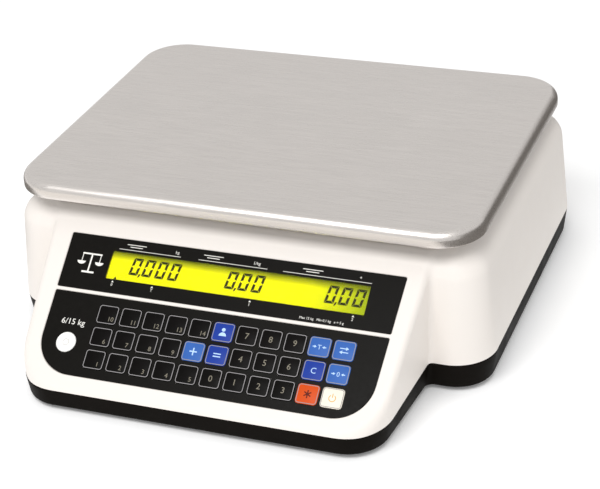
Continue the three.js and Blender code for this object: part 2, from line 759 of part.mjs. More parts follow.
// The main board with its tallest components and its four standoffs.
function addMainBoard() {
  const [x, y] = BOARD_CENTRE;
  const [width, depth, thickness] = BOARD_SIZE;
  const low = FLOOR + BOARD_LIFT;
  const top = low + thickness;
  const plateSolid = solid(block(x, y, width, depth, low, top));
  const parts = [
    [x - 38, y + 18, 16, 16, 3],
    [x - 6, y + 12, 22, 22, 3],
    [x + 34, y + 22, 14, 20, 12],
    [x - 40, y - 22, 26, 8, 9],
    [x + 8, y - 26, 34, 8, 9],
    [x + 44, y - 14, 12, 12, 16],
  ].map(([px, py, w, d, h]) => solid(block(px, py, w, d, top - 0.2, top + h)));
  const standoffs = [[-1, -1], [1, -1], [1, 1], [-1, 1]].map(([i, j]) => solid(disc(
    x + i * (width / 2 - 5),
    y + j * (depth / 2 - 5),
    3,
    FLOOR,
    low + 0.2,
    10,
  )));
  addPiece('main_board', geometryOf(join(plateSolid, ...parts, ...standoffs)), 'board');
}

addTopCover();
addBaseCover();
addPlatter();
addSpider();
addLoadCell();
addPanels();
addFrontDisplay();
addKeyBoard();
addKeys();
addRearDisplay();
addInlet();
addBattery();
addTransformer();
addMainBoard();
addFeet();

export default model;
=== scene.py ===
"""The looks of a low retail bench scale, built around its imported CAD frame.

Points are worked out in millimetres and turned into metres when a mesh is made. X runs to the
operator's right, Y to the back and Z up. Local frames on the console slope and on the rear face
have X across, Y up the face and Z out of it.
"""

import math

import bmesh
import bpy
import numpy as np
from mathutils import Matrix, Vector


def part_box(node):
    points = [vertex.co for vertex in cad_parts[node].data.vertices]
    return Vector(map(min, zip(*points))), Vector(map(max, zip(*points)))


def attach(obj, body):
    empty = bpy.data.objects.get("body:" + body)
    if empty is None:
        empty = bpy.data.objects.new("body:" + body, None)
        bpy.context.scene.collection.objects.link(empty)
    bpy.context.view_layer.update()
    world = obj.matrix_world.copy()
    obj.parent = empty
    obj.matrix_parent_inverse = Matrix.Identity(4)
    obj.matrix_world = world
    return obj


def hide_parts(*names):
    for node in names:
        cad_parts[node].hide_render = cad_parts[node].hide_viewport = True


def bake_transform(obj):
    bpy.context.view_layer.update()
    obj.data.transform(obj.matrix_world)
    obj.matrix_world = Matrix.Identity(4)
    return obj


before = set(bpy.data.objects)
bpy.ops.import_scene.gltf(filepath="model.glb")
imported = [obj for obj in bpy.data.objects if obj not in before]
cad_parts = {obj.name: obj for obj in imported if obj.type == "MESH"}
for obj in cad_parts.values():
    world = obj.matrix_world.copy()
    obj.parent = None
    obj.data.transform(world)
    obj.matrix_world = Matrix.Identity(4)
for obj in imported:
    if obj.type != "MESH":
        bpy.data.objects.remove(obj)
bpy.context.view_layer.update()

MM = 0.001


def millimetre_box(node):
    low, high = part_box(node)
    return low / MM, high / MM


# ---- Driving sizes, in millimetres -------------------------------------------------------

COVER_LOW, COVER_HIGH = millimetre_box("top_cover")
BASE_LOW, BASE_HIGH = millimetre_box("base_cover")
PLATTER_LOW, PLATTER_HIGH = millimetre_box("platter")
PANEL_LOW, PANEL_HIGH = millimetre_box("display_panel")

# Gap between pieces that touch, and the thickness of the housing's walls.
GAP = 0.3
WALL = 3

# Housing: a drafted box under the platter and a tapering console in front of it.
BOX_HALF_WIDTH = COVER_HIGH.x
BOX_FRONT = PLATTER_LOW.y
BOX_REAR = COVER_HIGH.y
BOX_CORNER = 28
BOX_DRAFT = 0.079
DECK = COVER_HIGH.z
SHOULDER = 15
SHOULDER_EDGE = 4
CONSOLE_FRONT = COVER_LOW.y
CONSOLE_HALF_REAR = 133.8
CONSOLE_HALF_FRONT = 126.4
CONSOLE_TAPER = (CONSOLE_HALF_REAR - CONSOLE_HALF_FRONT) / (BOX_FRONT - CONSOLE_FRONT)
CONSOLE_CORNER = 29.4
CONSOLE_EDGE = 4
CONSOLE_FILLET = 3
CONSOLE_REACH = 15
PARTING_BOX = BASE_HIGH.z + GAP
PARTING_FRONT = 16.3
BASE_TAPER = 0.128
OUTER_GRID = 2.0
INNER_GRID = 4.0

# Console slope: the panel frame's origin is the middle of the display panel's top edge.
SLOPE = math.radians(37.5)
PANEL_THICKNESS = 1
PANEL_SINK = 0.1
PANEL_TOP_Y = PANEL_HIGH.y - (PANEL_SINK + PANEL_THICKNESS) * math.sin(SLOPE)
PANEL_TOP_Z = PANEL_HIGH.z + PANEL_SINK * math.cos(SLOPE)
PANEL_LEFT_TOP = PANEL_LOW.x
PANEL_LEFT_BOTTOM = -115.8
PANEL_RIGHT_TOP = PANEL_HIGH.x
PANEL_RIGHT_BOTTOM = 116.5
RIB_TOP = 39.3
RIB_BOTTOM = 42.4
PANEL_LENGTH = 99.8
PANEL_CORNER = 26
PANEL_CUT_CORNER = 0.8
RECESS = 1.8

# Display window in the upper panel, and the lighted crystal behind it.
WINDOW_CENTRE_X = 7.6
WINDOW_WIDTH = 182.6
WINDOW_TOP = 9.3
WINDOW_HEIGHT = 20.2
WINDOW_CENTRE_S = WINDOW_TOP + WINDOW_HEIGHT / 2

# Keys: three rows of eleven.
KEY_FIRST_X = -74
KEY_PITCH = 16.6
KEY_SPAN = 10 * KEY_PITCH
KEY_MIDDLE_X = KEY_FIRST_X + KEY_SPAN / 2
KEY_ROWS = (55, 71, 87)
KEY_WIDTH = 14.6
KEY_HEIGHT = 13.4
KEY_CORNER = 2.2
KEY_TOP = 0.25
KEY_BOTTOM = -1.1

# Spirit level in the lower panel.
LEVEL_X = -98
LEVEL_S = 77.8
LEVEL_RADIUS = 7.1

# Platter: one pressed sheet.
PLATTER_CORNER = 32
PLATTER_EDGE = 6
PLATTER_SHEET = 1.2
PLATTER_MIDDLE_Y = (PLATTER_LOW.y + PLATTER_HIGH.y) / 2

# Customer display and mains inlet in the rear face.
REAR_WINDOW_Z = 67
REAR_WINDOW = (164, 34)
INLET_X = -118
INLET_Z = 44
INLET_FLANGE = (44, 34)
INLET_OPENING = (36, 27)
INLET_BODY = (27, 20)
INLET_DEPTH = 18
INLET_PINS = ((-7, -1.5), (7, -1.5), (0, 2.5))
INLET_SCREWS_X = (-18, 18)

# Spider and the column that carries it through the deck.
SPIDER_LOW, SPIDER_HIGH = millimetre_box("platter_support")
SPACER_LOW, SPACER_HIGH = millimetre_box("cell_top_spacer")
COLUMN_X = (SPACER_LOW.x + SPACER_HIGH.x) / 2
COLUMN_WIDTH = SPACER_HIGH.x - SPACER_LOW.x
COLUMN_DEPTH = SPACER_HIGH.y - SPACER_LOW.y + 4
COLUMN_HOLE = (COLUMN_WIDTH + 7, COLUMN_DEPTH + 7)
SPIDER_REACH = (120, 88)
SPIDER_HUB = (132, 56)
SPIDER_ARM_HEIGHT = 8.4
SPIDER_POST_RADIUS = 9
SPIDER_POCKET = (22, 40)
SPIDER_POCKETS_X = (-42, -14)
SPIDER_BOLTS_X = (COLUMN_X - 9, COLUMN_X + 9)
BUFFER_HEIGHT = 2.6

SLOPE_FRAME = Matrix.Translation((0, PANEL_TOP_Y, PANEL_TOP_Z)) @ Matrix.Rotation(SLOPE, 4, "X")


def slope_place(x, s, height=0.0):
    """A frame on the console slope, s down from the panel's top and height above the surface."""
    return SLOPE_FRAME @ Matrix.Translation((x, -s, height))


def rear_place(x, z):
    """A frame on the drafted rear face, seen by someone standing behind the scale."""
    y = BOX_REAR - BOX_DRAFT * (z - PARTING_BOX)
    tilt = math.pi / 2 - math.atan(BOX_DRAFT)
    return (
        Matrix.Translation((x, y, z))
        @ Matrix.Rotation(math.pi, 4, "Z")
        @ Matrix.Rotation(tilt, 4, "X")
    )


# ---- Outlines ----------------------------------------------------------------------------


def outline(corners, steps=10):
    """Corners (x, y, radius) in order, with each corner turned into an arc of its radius."""
    points = []
    for i, (x, y, radius) in enumerate(corners):
        corner = Vector((x, y))
        if radius == 0:
            points.append(corner)
            continue
        before = (Vector(corners[i - 1][:2]) - corner).normalized()
        after = (Vector(corners[(i + 1) % len(corners)][:2]) - corner).normalized()
        half = before.angle(after) / 2
        centre = corner + (before + after).normalized() * (radius / math.sin(half))
        start = corner + before * (radius / math.tan(half)) - centre
        end = corner + after * (radius / math.tan(half)) - centre
        sweep = math.atan2(start.x * end.y - start.y * end.x, start.dot(end))
        for k in range(steps + 1):
            points.append(centre + Matrix.Rotation(sweep * k / steps, 2) @ start)
    return np.array([tuple(p) for p in points])


def rectangle(x, y, width, height, radius=0.0, steps=6):
    """A rectangle about its middle, with round corners unless the radius is nought."""
    w, h = width / 2, height / 2
    signs = ((-1, -1), (1, -1), (1, 1), (-1, 1))
    return outline([(x + i * w, y + j * h, radius) for i, j in signs], steps)


def circle(x, y, radius, steps=48):
    turns = np.arange(steps) * 2 * math.pi / steps
    return np.stack([x + radius * np.cos(turns), y + radius * np.sin(turns)], axis=1)


def arc(x, y, radius, width, start, end, steps=14):
    """A bent bar of one width, following a circle from one angle to another."""
    turns = np.radians(np.linspace(start, end, steps))
    rim = np.stack([np.cos(turns), np.sin(turns)], axis=1)
    outer = rim * (radius + width / 2)
    inner = rim[::-1] * (radius - width / 2)
    return np.concatenate([outer, inner]) + (x, y)


def bar(x0, y0, x1, y1, width):
    """A straight bar between two points."""
    along = Vector((x1 - x0, y1 - y0)).normalized() * 0.5 * width
    side = Vector((-along.y, along.x))
    a, b = Vector((x0, y0)), Vector((x1, y1))
    return np.array([tuple(p) for p in (a - side, b - side, b + side, a + side)])


def plus(reach, stroke):
    """An upright cross as one outline."""
    half = stroke / 2
    quarter = [(reach, -half), (reach, half), (half, half)]
    ring = []
    for c, s in ((1, 0), (0, 1), (-1, 0), (0, -1)):
        ring += [(c * x - s * y, s * x + c * y) for x, y in quarter]
    return np.array(ring)


# ---- Forms: the points and faces of one piece --------------------------------------------


class Form:
    """Points in millimetres, faces and the finish of each face, gathered part by part."""

    def __init__(self):
        self.points = np.zeros((0, 3))
        self.faces = []
        self.finishes = []

    def add(self, part, finish=0, place=None):
        points, faces = part
        points = np.asarray(points, float)
        if place is not None:
            matrix = np.array(place)
            points = points @ matrix[:3, :3].T + matrix[:3, 3]
        start = len(self.points)
        self.points = np.concatenate([self.points, points])
        self.faces += [tuple(start + i for i in face) for face in faces]
        self.finishes += [finish] * len(faces)
        return self

    def mesh(self, name):
        made = bpy.data.meshes.new(name)
        made.from_pydata((self.points * MM).tolist(), [], self.faces)
        made.polygons.foreach_set("material_index", self.finishes)
        made.update()
        return made


def loft(rings):
    """Rings of equal point count joined into a skin with flat ends."""
    count = len(rings[0])
    points = np.concatenate([np.asarray(ring, float) for ring in rings])
    faces = []
    top = (len(rings) - 1) * count
    for low in range(0, top, count):
        for k in range(count):
            after = (k + 1) % count
            faces.append((low + k, low + after, low + count + after, low + count + k))
    faces.append(tuple(range(count - 1, -1, -1)))
    faces.append(tuple(range(top, top + count)))
    return points, faces


def at_height(points, z):
    return np.column_stack([points, np.full(len(points), z)])


def slab(points, low, high):
    return loft([at_height(points, low), at_height(points, high)])


def rounded_slab(ring, low, high, radius, steps=3):
    """A slab with its upper edge rounded. ring(inset) gives the outline moved inwards."""
    rings = [at_height(ring(0), low)]
    for k in range(steps + 1):
        turn = math.pi / 2 * k / steps
        inset = radius * (1 - math.cos(turn))
        rings.append(at_height(ring(inset), high - radius + radius * math.sin(turn)))
    return loft(rings)


def lathe(profile, steps=48):
    """A profile of (radius, z) points, rising, turned about Z. It starts and ends off the axis."""
    return loft([at_height(circle(0, 0, radius, steps), z) for radius, z in profile])


def pane(points, holes, low, high):
    """A flat plate with holes through it."""
    curve = bpy.data.curves.new("pane", "CURVE")
    curve.dimensions = "2D"
    curve.fill_mode = "BOTH"
    curve.extrude = (high - low) / 2
    for ring in (points, *holes):
        spline = curve.splines.new("POLY")
        spline.points.add(len(ring) - 1)
        flat = np.column_stack([ring, np.zeros(len(ring)), np.ones(len(ring))])
        spline.points.foreach_set("co", flat.ravel())
        spline.use_cyclic_u = True
    made, faces = curve_part(curve)
    return made + (0, 0, (high + low) / 2), faces


def curve_part(curve):
    """The closed skin of a curve or text, as a part. The curve is used up."""
    holder = bpy.data.objects.new(curve.name, curve)
    bpy.context.scene.collection.objects.link(holder)
    graph = bpy.context.evaluated_depsgraph_get()
    mesh = bpy.data.meshes.new_from_object(holder.evaluated_get(graph))
    work = bmesh.new()
    work.from_mesh(mesh)
    bmesh.ops.remove_doubles(work, verts=work.verts, dist=1e-4)
    bmesh.ops.recalc_face_normals(work, faces=work.faces)
    points = np.array([tuple(v.co) for v in work.verts]).reshape(-1, 3)
    faces = [tuple(v.index for v in face.verts) for face in work.faces]
    work.free()
    bpy.data.objects.remove(holder)
    bpy.data.meshes.remove(mesh)
    bpy.data.curves.remove(curve)
    return points, faces


def glyphs(text, height, low, high, capital_share=0.72):
    """Raised figures, centred, with capitals of the given height."""
    curve = bpy.data.curves.new("glyphs", "FONT")
    curve.body = text
    curve.size = height / capital_share
    curve.align_x = "CENTER"
    curve.resolution_u = 3
    curve.extrude = (high - low) / 2
    points, faces = curve_part(curve)
    return points + (0, -height / 2, (high + low) / 2), faces


def piece(name, form, body, finishes, replaces=(), smooth=35.0):
    """A finished piece that rides on its CAD body and stands for the CAD nodes it replaces.

    It is shaded smooth up to the given edge angle.
    """
    mesh = form if isinstance(form, bpy.types.Mesh) else form.mesh(name)
    mesh.name = name
    for finish in finishes:
        mesh.materials.append(finish)
    mesh.shade_smooth()
    mesh.set_sharp_from_angle(angle=math.radians(smooth))
    made = bpy.data.objects.new(name, mesh)
    bpy.context.scene.collection.objects.link(made)
    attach(made, body)
    if replaces:
        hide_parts(*replaces)
    return made


def carve(part, joins=(), cuts=()):
    """The mesh of a part that other parts are joined to, and then cut out of."""
    work = bpy.data.objects.new("work", closed_mesh(part))
    bpy.context.scene.collection.objects.link(work)
    steps = [("UNION", part) for part in joins] + [("DIFFERENCE", part) for part in cuts]
    for operation, part in steps:
        tool = bpy.data.objects.new("tool", closed_mesh(part))
        bpy.context.scene.collection.objects.link(tool)
        modifier = work.modifiers.new("cut", "BOOLEAN")
        modifier.solver = "MANIFOLD"
        modifier.operation = operation
        modifier.object = tool
        graph = bpy.context.evaluated_depsgraph_get()
        work.data = bpy.data.meshes.new_from_object(work.evaluated_get(graph))
        work.modifiers.clear()
        bpy.data.objects.remove(tool)
    carved = work.data
    bpy.data.objects.remove(work)
    carved.materials.clear()
    return carved


def closed_mesh(part):
    """A part or form as a mesh of triangles with its shared points merged."""
    form = part if isinstance(part, Form) else Form().add(part)
    mesh = form.mesh("closed")
    work = bmesh.new()
    work.from_mesh(mesh)
    bmesh.ops.remove_doubles(work, verts=work.verts, dist=1e-7)
    bmesh.ops.triangulate(work, faces=work.faces)
    bmesh.ops.recalc_face_normals(work, faces=work.faces)
    work.to_mesh(mesh)
    work.free()
    return mesh


def placed(part, place):
    return Form().add(part, place=place)


def as_part(mesh):
    """A mesh's points and faces, to be added to a form."""
    points = np.array([tuple(v.co) for v in mesh.vertices]) / MM
    return points, [tuple(face.vertices) for face in mesh.polygons]


# ---- Rounded bodies from a distance function ---------------------------------------------


def round_join(a, b, radius):
    """Distance to two bodies joined by a hollow fillet."""
    corner = np.hypot(np.maximum(radius - a, 0), np.maximum(radius - b, 0))
    return np.maximum(radius, np.minimum(a, b)) - corner


def round_meet(a, b, radius):
    """Distance to what two bodies share, with their common edge rounded."""
    corner = np.hypot(np.maximum(radius + a, 0), np.maximum(radius + b, 0))
    return np.minimum(-radius, np.maximum(a, b)) + corner


def housing_distance(x, y, z):
    """Distance to the housing's outer surface: below zero inside it."""
    across = np.abs(x) - BOX_HALF_WIDTH
    along = np.abs(y - (BOX_FRONT + BOX_REAR) / 2) - (BOX_REAR - BOX_FRONT) / 2
    walls = round_meet(across, along, BOX_CORNER) + BOX_DRAFT * (z - PARTING_BOX)
    bevel = (walls + z - DECK + SHOULDER) / math.sqrt(2)
    box = np.maximum(round_meet(walls, bevel, SHOULDER_EDGE), z - DECK)
    half_width = CONSOLE_HALF_FRONT + CONSOLE_TAPER * (y - CONSOLE_FRONT)
    sides = (np.abs(x) - half_width) * math.cos(math.atan(CONSOLE_TAPER))
    console = round_meet(sides, CONSOLE_FRONT - y, CONSOLE_CORNER)
    slope = (z - PANEL_TOP_Z) * math.cos(SLOPE) - (y - PANEL_TOP_Y) * math.sin(SLOPE)
    console = round_meet(console, slope, CONSOLE_EDGE)
    console = np.maximum(console, y - (BOX_FRONT + CONSOLE_REACH))
    return round_join(box, console, CONSOLE_FILLET)


def surface_net(distance, low, high, step):
    """The zero level of a distance function as a closed mesh of even, four-sided faces."""
    axes = [np.arange(a, b + step, step) for a, b in zip(low, high)]
    values = distance(*np.meshgrid(*axes, indexing="ij"))
    inside = values < 0
    cells = tuple(n - 1 for n in inside.shape)

    def corner(grid, offset):
        return grid[tuple(slice(o, o + n) for o, n in zip(offset, cells))]

    offsets = [(i, j, k) for i in (0, 1) for j in (0, 1) for k in (0, 1)]
    full = sum(corner(inside, offset).astype(int) for offset in offsets)
    crossed = (full > 0) & (full < 8)
    origin = np.argwhere(crossed)
    total = np.zeros((len(origin), 3))
    hits = np.zeros(len(origin))
    for a in offsets:
        for axis in range(3):
            if a[axis]:
                continue
            b = tuple(v + (i == axis) for i, v in enumerate(a))
            va, vb = corner(values, a)[crossed], corner(values, b)[crossed]
            changes = (va < 0) != (vb < 0)
            share = np.divide(va, va - vb, out=np.zeros_like(va), where=changes)
            spot = origin + a + share[:, None] * np.eye(3)[axis]
            total[changes] += spot[changes]
            hits[changes] += 1
    points = np.array(low) + total / hits[:, None] * step
    number = np.full(cells, -1)
    number[crossed] = np.arange(len(origin))
    faces = []
    for axis in range(3):
        u, v = np.eye(3, dtype=int)[(axis + 1) % 3], np.eye(3, dtype=int)[(axis + 2) % 3]
        before = inside.take(range(inside.shape[axis] - 1), axis)
        after = inside.take(range(1, inside.shape[axis]), axis)
        edges = np.argwhere(before != after)
        around = [edges, edges - u, edges - u - v, edges - v]
        quads = np.stack([number[tuple(spot.T)] for spot in around], axis=1)
        leaves = before[tuple(edges.T)]
        faces += np.where(leaves[:, None], quads, quads[:, ::-1]).tolist()
    return settled(points, distance), faces


def settled(points, distance, rounds=4, probe=0.01):
    """Points moved onto the zero level along its slope."""
    for _ in range(rounds):
        here = distance(*points.T)
        rises = [distance(*(points + probe * axis).T) - here for axis in np.eye(3)]
        slope = np.stack(rises, axis=1) / probe
        points = points - slope * (here / np.maximum((slope**2).sum(axis=1), 0.1))[:, None]
    return points


# ---- Materials ---------------------------------------------------------------------------


def screen_colour(red, green, blue):
    """A colour as a screen shows it, 0 to 255, as linear light."""
    parts = [c / 255 for c in (red, green, blue)]
    light = [c / 12.92 if c <= 0.04045 else ((c + 0.055) / 1.055) ** 2.4 for c in parts]
    return (*light, 1.0)


class Finish:
    """One procedural material and the nodes wired into its shader."""

    def __init__(self, name, roughness, metallic=0.0, specular=0.5):
        self.material = bpy.data.materials.new(name)
        self.material.use_nodes = True
        self.tree = self.material.node_tree
        self.shader = self.tree.nodes["Principled BSDF"]
        self.shader.inputs["Roughness"].default_value = roughness
        self.shader.inputs["Metallic"].default_value = metallic
        self.shader.inputs["Specular IOR Level"].default_value = specular
        self.place = self.node("ShaderNodeTexCoord").outputs["Object"]

    def node(self, kind, settings=None, **inputs):
        made = self.tree.nodes.new(kind)
        for key, value in (settings or {}).items():
            setattr(made, key, value)
        for key, value in inputs.items():
            self.feed(made.inputs[key.replace("_", " ")], value)
        return made

    def feed(self, socket, value):
        if isinstance(value, bpy.types.NodeSocket):
            self.tree.links.new(value, socket)
        else:
            socket.default_value = value

    def noise(self, size, detail=3.0, stretch=(1, 1, 1)):
        """Noise whose blotches are about size metres across."""
        scaled = self.node("ShaderNodeMapping", Vector=self.place, Scale=stretch)
        made = self.node(
            "ShaderNodeTexNoise", Vector=scaled.outputs["Vector"], Scale=1 / size, Detail=detail
        )
        return made.outputs["Fac"]

    def spread(self, factor, low, high, start=0.3, end=0.7):
        """A factor spread from low to high."""
        made = self.node("ShaderNodeMapRange", Value=factor)
        for key, value in zip(("From Min", "From Max", "To Min", "To Max"), (start, end, low, high)):
            made.inputs[key].default_value = value
        return made.outputs["Result"]

    def mix(self, factor, first, second):
        """One colour turning into another."""
        made = self.node("ShaderNodeMix", {"data_type": "RGBA"})
        self.feed(made.inputs[0], factor)
        self.feed(made.inputs[6], first)
        self.feed(made.inputs[7], second)
        return made.outputs[2]

    def colour(self, value):
        self.feed(self.shader.inputs["Base Color"], value)

    def gloss(self, factor, low, high):
        """Roughness that runs from low to high with a factor."""
        self.feed(self.shader.inputs["Roughness"], self.spread(factor, low, high))

    def relief(self, height, depth):
        """Bumps of that height map, depth metres tall."""
        bump = self.node("ShaderNodeBump", Height=height, Distance=depth)
        self.feed(self.shader.inputs["Normal"], bump.outputs["Normal"])


def shade(colour, factor):
    """A colour made darker or lighter."""
    return (*(min(c * factor, 1.0) for c in colour[:3]), 1.0)


def moulded(name, colour, roughness, grain=0.0009, depth=0.000012, mottle=0.04, specular=0.5):
    """Moulded plastic or rubber: faint cloudiness, a fine grain and uneven gloss."""
    made = Finish(name, roughness, specular=specular)
    cloud = made.noise(0.045, 4)
    made.colour(made.mix(cloud, shade(colour, 1 - mottle), shade(colour, 1 + mottle)))
    made.gloss(made.noise(0.012), roughness - 0.05, roughness + 0.07)
    made.relief(made.noise(grain, 2), depth)
    return made.material


def brushed(name, colour, roughness, lines=0.0005, run=0.02, depth=0.000003, tone=0.07):
    """Metal brushed along X: short fine lines in tone, gloss and relief."""
    made = Finish(name, roughness, metallic=1.0)
    stroke = made.noise(lines, 4, stretch=(lines / run, 1, 1))
    cloud = made.noise(0.06, 3)
    dark, light = shade(colour, 1 - tone), shade(colour, 1 + tone)
    lined = made.mix(made.spread(stroke, 0, 1), dark, light)
    made.colour(made.mix(made.spread(cloud, 0, 0.35), lined, shade(colour, 0.93)))
    made.gloss(stroke, roughness - 0.05, roughness + 0.07)
    made.relief(stroke, depth)
    return made.material


def cast_metal(name, colour, roughness, grain=0.0012, depth=0.00008):
    """Sand-cast or sawn metal: a coarse pitted grain."""
    made = Finish(name, roughness, metallic=1.0)
    pits = made.noise(grain, 6)
    made.colour(made.mix(pits, shade(colour, 0.72), shade(colour, 1.15)))
    made.gloss(pits, roughness - 0.1, roughness + 0.12)
    made.relief(pits, depth)
    return made.material


def printed(name, colour, roughness=0.33, weave=0.0006, depth=0.000006, specular=0.12):
    """Printed polyester film: nearly even colour under a fine textured lacquer."""
    made = Finish(name, roughness, specular=specular)
    cloud = made.noise(0.006, 3)
    made.colour(made.mix(cloud, shade(colour, 0.9), shade(colour, 1.1)))
    made.gloss(made.noise(0.003), roughness - 0.04, roughness + 0.05)
    made.relief(made.noise(weave, 1), depth)
    return made.material


def clear(name, tint, roughness=0.03):
    """Clear or tinted plastic with the faintest haze."""
    made = Finish(name, roughness)
    made.gloss(made.noise(0.02), roughness, roughness + 0.03)
    made.colour(made.mix(made.noise(0.03), shade(tint, 0.98), tint))
    made.shader.inputs["Transmission Weight"].default_value = 1.0
    made.shader.inputs["IOR"].default_value = 1.2
    return made.material


# edge is the colour of the painted shade along the crystal's top edge.
def backlit(name, lit, dim, edge, place, half_width, half_height, strength=0.4):
    """A lit crystal panel, dimmer and greener at its right end, with painted shade along its top edge
    for the shadow of the window's rim over it.
    """
    made = Finish(name, 0.3, specular=0.05)
    inverse = place.inverted()
    moved = made.node("ShaderNodeVectorMath", {"operation": "SUBTRACT"})
    made.feed(moved.inputs[0], made.place)
    moved.inputs[1].default_value = place.translation * MM

    def along(axis):
        dot = made.node("ShaderNodeVectorMath", {"operation": "DOT_PRODUCT"})
        made.feed(dot.inputs[0], moved.outputs["Vector"])
        dot.inputs[1].default_value = inverse.to_3x3()[axis]
        return dot.outputs["Value"]

    # Painted shade: the top 6 mm turn to the edge colour, in colour and glow alike, for the shadow of
    # the window's rim.
    top = made.spread(along(1), 0, 1, (half_height - 6) * MM, half_height * MM)
    right = made.spread(along(0), 0, 1, (half_width - 42) * MM, half_width * MM)
    glow = made.mix(right, lit, dim)
    glow = made.mix(top, glow, edge)
    cells = made.spread(made.noise(0.004, 2), 0, 0.12)
    glow = made.mix(cells, glow, dim)
    made.colour(glow)
    made.feed(made.shader.inputs["Emission Color"], glow)
    made.shader.inputs["Emission Strength"].default_value = strength
    return made.material


def circuit(name):
    """Green solder mask over copper tracks, with tinned pads."""
    made = Finish(name, 0.4)
    tracks = made.node("ShaderNodeTexBrick", Vector=made.place, Scale=260.0, Mortar_Size=0.08)
    tracks.inputs["Color1"].default_value = screen_colour(20, 92, 52)
    tracks.inputs["Color2"].default_value = screen_colour(24, 104, 60)
    tracks.inputs["Mortar"].default_value = screen_colour(58, 140, 84)
    pads = made.node("ShaderNodeTexVoronoi", Vector=made.place, Scale=190.0).outputs["Distance"]
    spots = made.spread(pads, 1, 0, 0.1, 0.14)
    made.colour(made.mix(spots, tracks.outputs["Color"], screen_colour(196, 192, 176)))
    made.relief(tracks.outputs["Fac"], 0.00004)
    return made.material


def laminated(name):
    """Varnished transformer steel: thin stacked sheets."""
    made = Finish(name, 0.45, metallic=0.6)
    sheets = made.node("ShaderNodeTexWave", {"bands_direction": "Z"}, Vector=made.place, Scale=320.0)
    dark, light = screen_colour(74, 48, 30), screen_colour(140, 98, 62)
    made.colour(made.mix(sheets.outputs["Fac"], dark, light))
    made.relief(sheets.outputs["Fac"], 0.00008)
    return made.material


WHITE = moulded("abs_white", screen_colour(233, 227, 221), 0.42, mottle=0.008, specular=0.3)
BLACK = moulded("abs_black", screen_colour(18, 15, 12), 0.5, depth=0.00003, specular=0.03)
STEEL = brushed("stainless_satin", screen_colour(236, 230, 225), 0.3)
ZINC = brushed("steel_zinc", screen_colour(176, 176, 172), 0.3, run=0.003)
CAST = cast_metal("aluminium_cast", screen_colour(176, 178, 180), 0.48)
MACHINED = brushed("aluminium_machined", screen_colour(200, 202, 204), 0.28, run=0.006)
FILM = printed("film_black", screen_colour(13, 11, 8), specular=0.08)
KEY_BLACK = printed("key_film_black", screen_colour(10, 8, 7), specular=0.06)
KEY_BLUE = printed("key_film_blue", screen_colour(30, 59, 150))
KEY_LIGHT_BLUE = printed("key_film_light_blue", screen_colour(55, 99, 174))
KEY_ORANGE = printed("key_film_orange", screen_colour(206, 76, 18))
KEY_WHITE = printed("key_film_white", screen_colour(236, 229, 214))
INK_WHITE = printed("ink_white", screen_colour(238, 236, 230), 0.4)
INK_ICE = printed("ink_pale_blue", screen_colour(184, 214, 250), 0.4)
INK_GREY = printed("ink_grey", screen_colour(150, 147, 148), 0.4)
INK_DIM = printed("ink_dim", screen_colour(132, 126, 112), 0.4)
INK_DARK = printed("ink_dark_red", screen_colour(90, 24, 10), 0.4)
INK_AMBER = printed("ink_amber", screen_colour(226, 168, 92), 0.4)
CRYSTAL = printed("crystal_lit_figures", screen_colour(52, 54, 8), 0.35)
RUBBER = moulded("rubber_black", screen_colour(34, 34, 33), 0.8, grain=0.0012, depth=0.00005)
PALE = moulded("level_white", screen_colour(250, 249, 245), 0.25, mottle=0.01)
INLET_BLACK = moulded("nylon_black", screen_colour(24, 24, 24), 0.45)
BATTERY_GREY = moulded("battery_case", screen_colour(78, 82, 86), 0.55, depth=0.00004)
GLASS = clear("window_clear_plastic", screen_colour(250, 252, 248))
SMOKED = clear("window_smoked_plastic", screen_colour(196, 200, 192))
BOARD = circuit("solder_mask_green")
CORE = laminated("core_laminated")
GAUGE = moulded("gauge_sealant", screen_colour(226, 214, 184), 0.35, mottle=0.05)
TAPE = moulded("winding_tape", screen_colour(222, 170, 44), 0.3, grain=0.002, mottle=0.06)


# ---- Housing -----------------------------------------------------------------------------


def panel_left(s):
    return PANEL_LEFT_TOP + (PANEL_LEFT_BOTTOM - PANEL_LEFT_TOP) * s / PANEL_LENGTH


def panel_right(s):
    return PANEL_RIGHT_TOP + (PANEL_RIGHT_BOTTOM - PANEL_RIGHT_TOP) * s / PANEL_LENGTH


def panel_outline(top, bottom, radius, grow):
    """A stretch of the panel between two distances down the slope, its lower corners round."""
    corners = [
        (panel_left(bottom) - grow, -bottom - grow, radius),
        (panel_right(bottom) + grow, -bottom - grow, radius),
        (panel_right(top) + grow, -top + grow, PANEL_CUT_CORNER + grow),
        (panel_left(top) - grow, -top + grow, PANEL_CUT_CORNER + grow),
    ]
    return outline(corners, steps=16)


def display_panel_outline(grow):
    return panel_outline(0, RIB_TOP, PANEL_CUT_CORNER + grow, grow)


def keypad_panel_outline(grow):
    return panel_outline(RIB_BOTTOM, PANEL_LENGTH, PANEL_CORNER + grow, grow)


def window_outline(grow):
    """The display window's outline on the slope, moved outwards, or inwards below zero."""
    size = (WINDOW_WIDTH + 2 * grow, WINDOW_HEIGHT + 2 * grow)
    return rectangle(WINDOW_CENTRE_X, -WINDOW_CENTRE_S, *size, 0.6 + grow)


def recess(ring, chamfer=0.45, rise=5):
    """A cutter for a panel's recess, which leaves a small chamfer along its upper edge."""
    return loft([
        at_height(ring(GAP), -RECESS),
        at_height(ring(GAP), -chamfer),
        at_height(ring(GAP + chamfer + 0.1), 0.1),
        at_height(ring(GAP + chamfer + 0.1), rise),
    ])


def below_parting(far=400):
    """All the space under the line where the cover meets the base."""
    side = [
        (-far, -far),
        (far, -far),
        (far, PARTING_BOX),
        (BOX_FRONT, PARTING_BOX),
        (CONSOLE_FRONT, PARTING_FRONT),
        (-far, PARTING_FRONT),
    ]
    upright = Matrix(((0, 0, 1, 0), (1, 0, 0, 0), (0, 1, 0, 0), (0, 0, 0, 1)))
    return placed(slab(np.array(side), -far, far), upright)


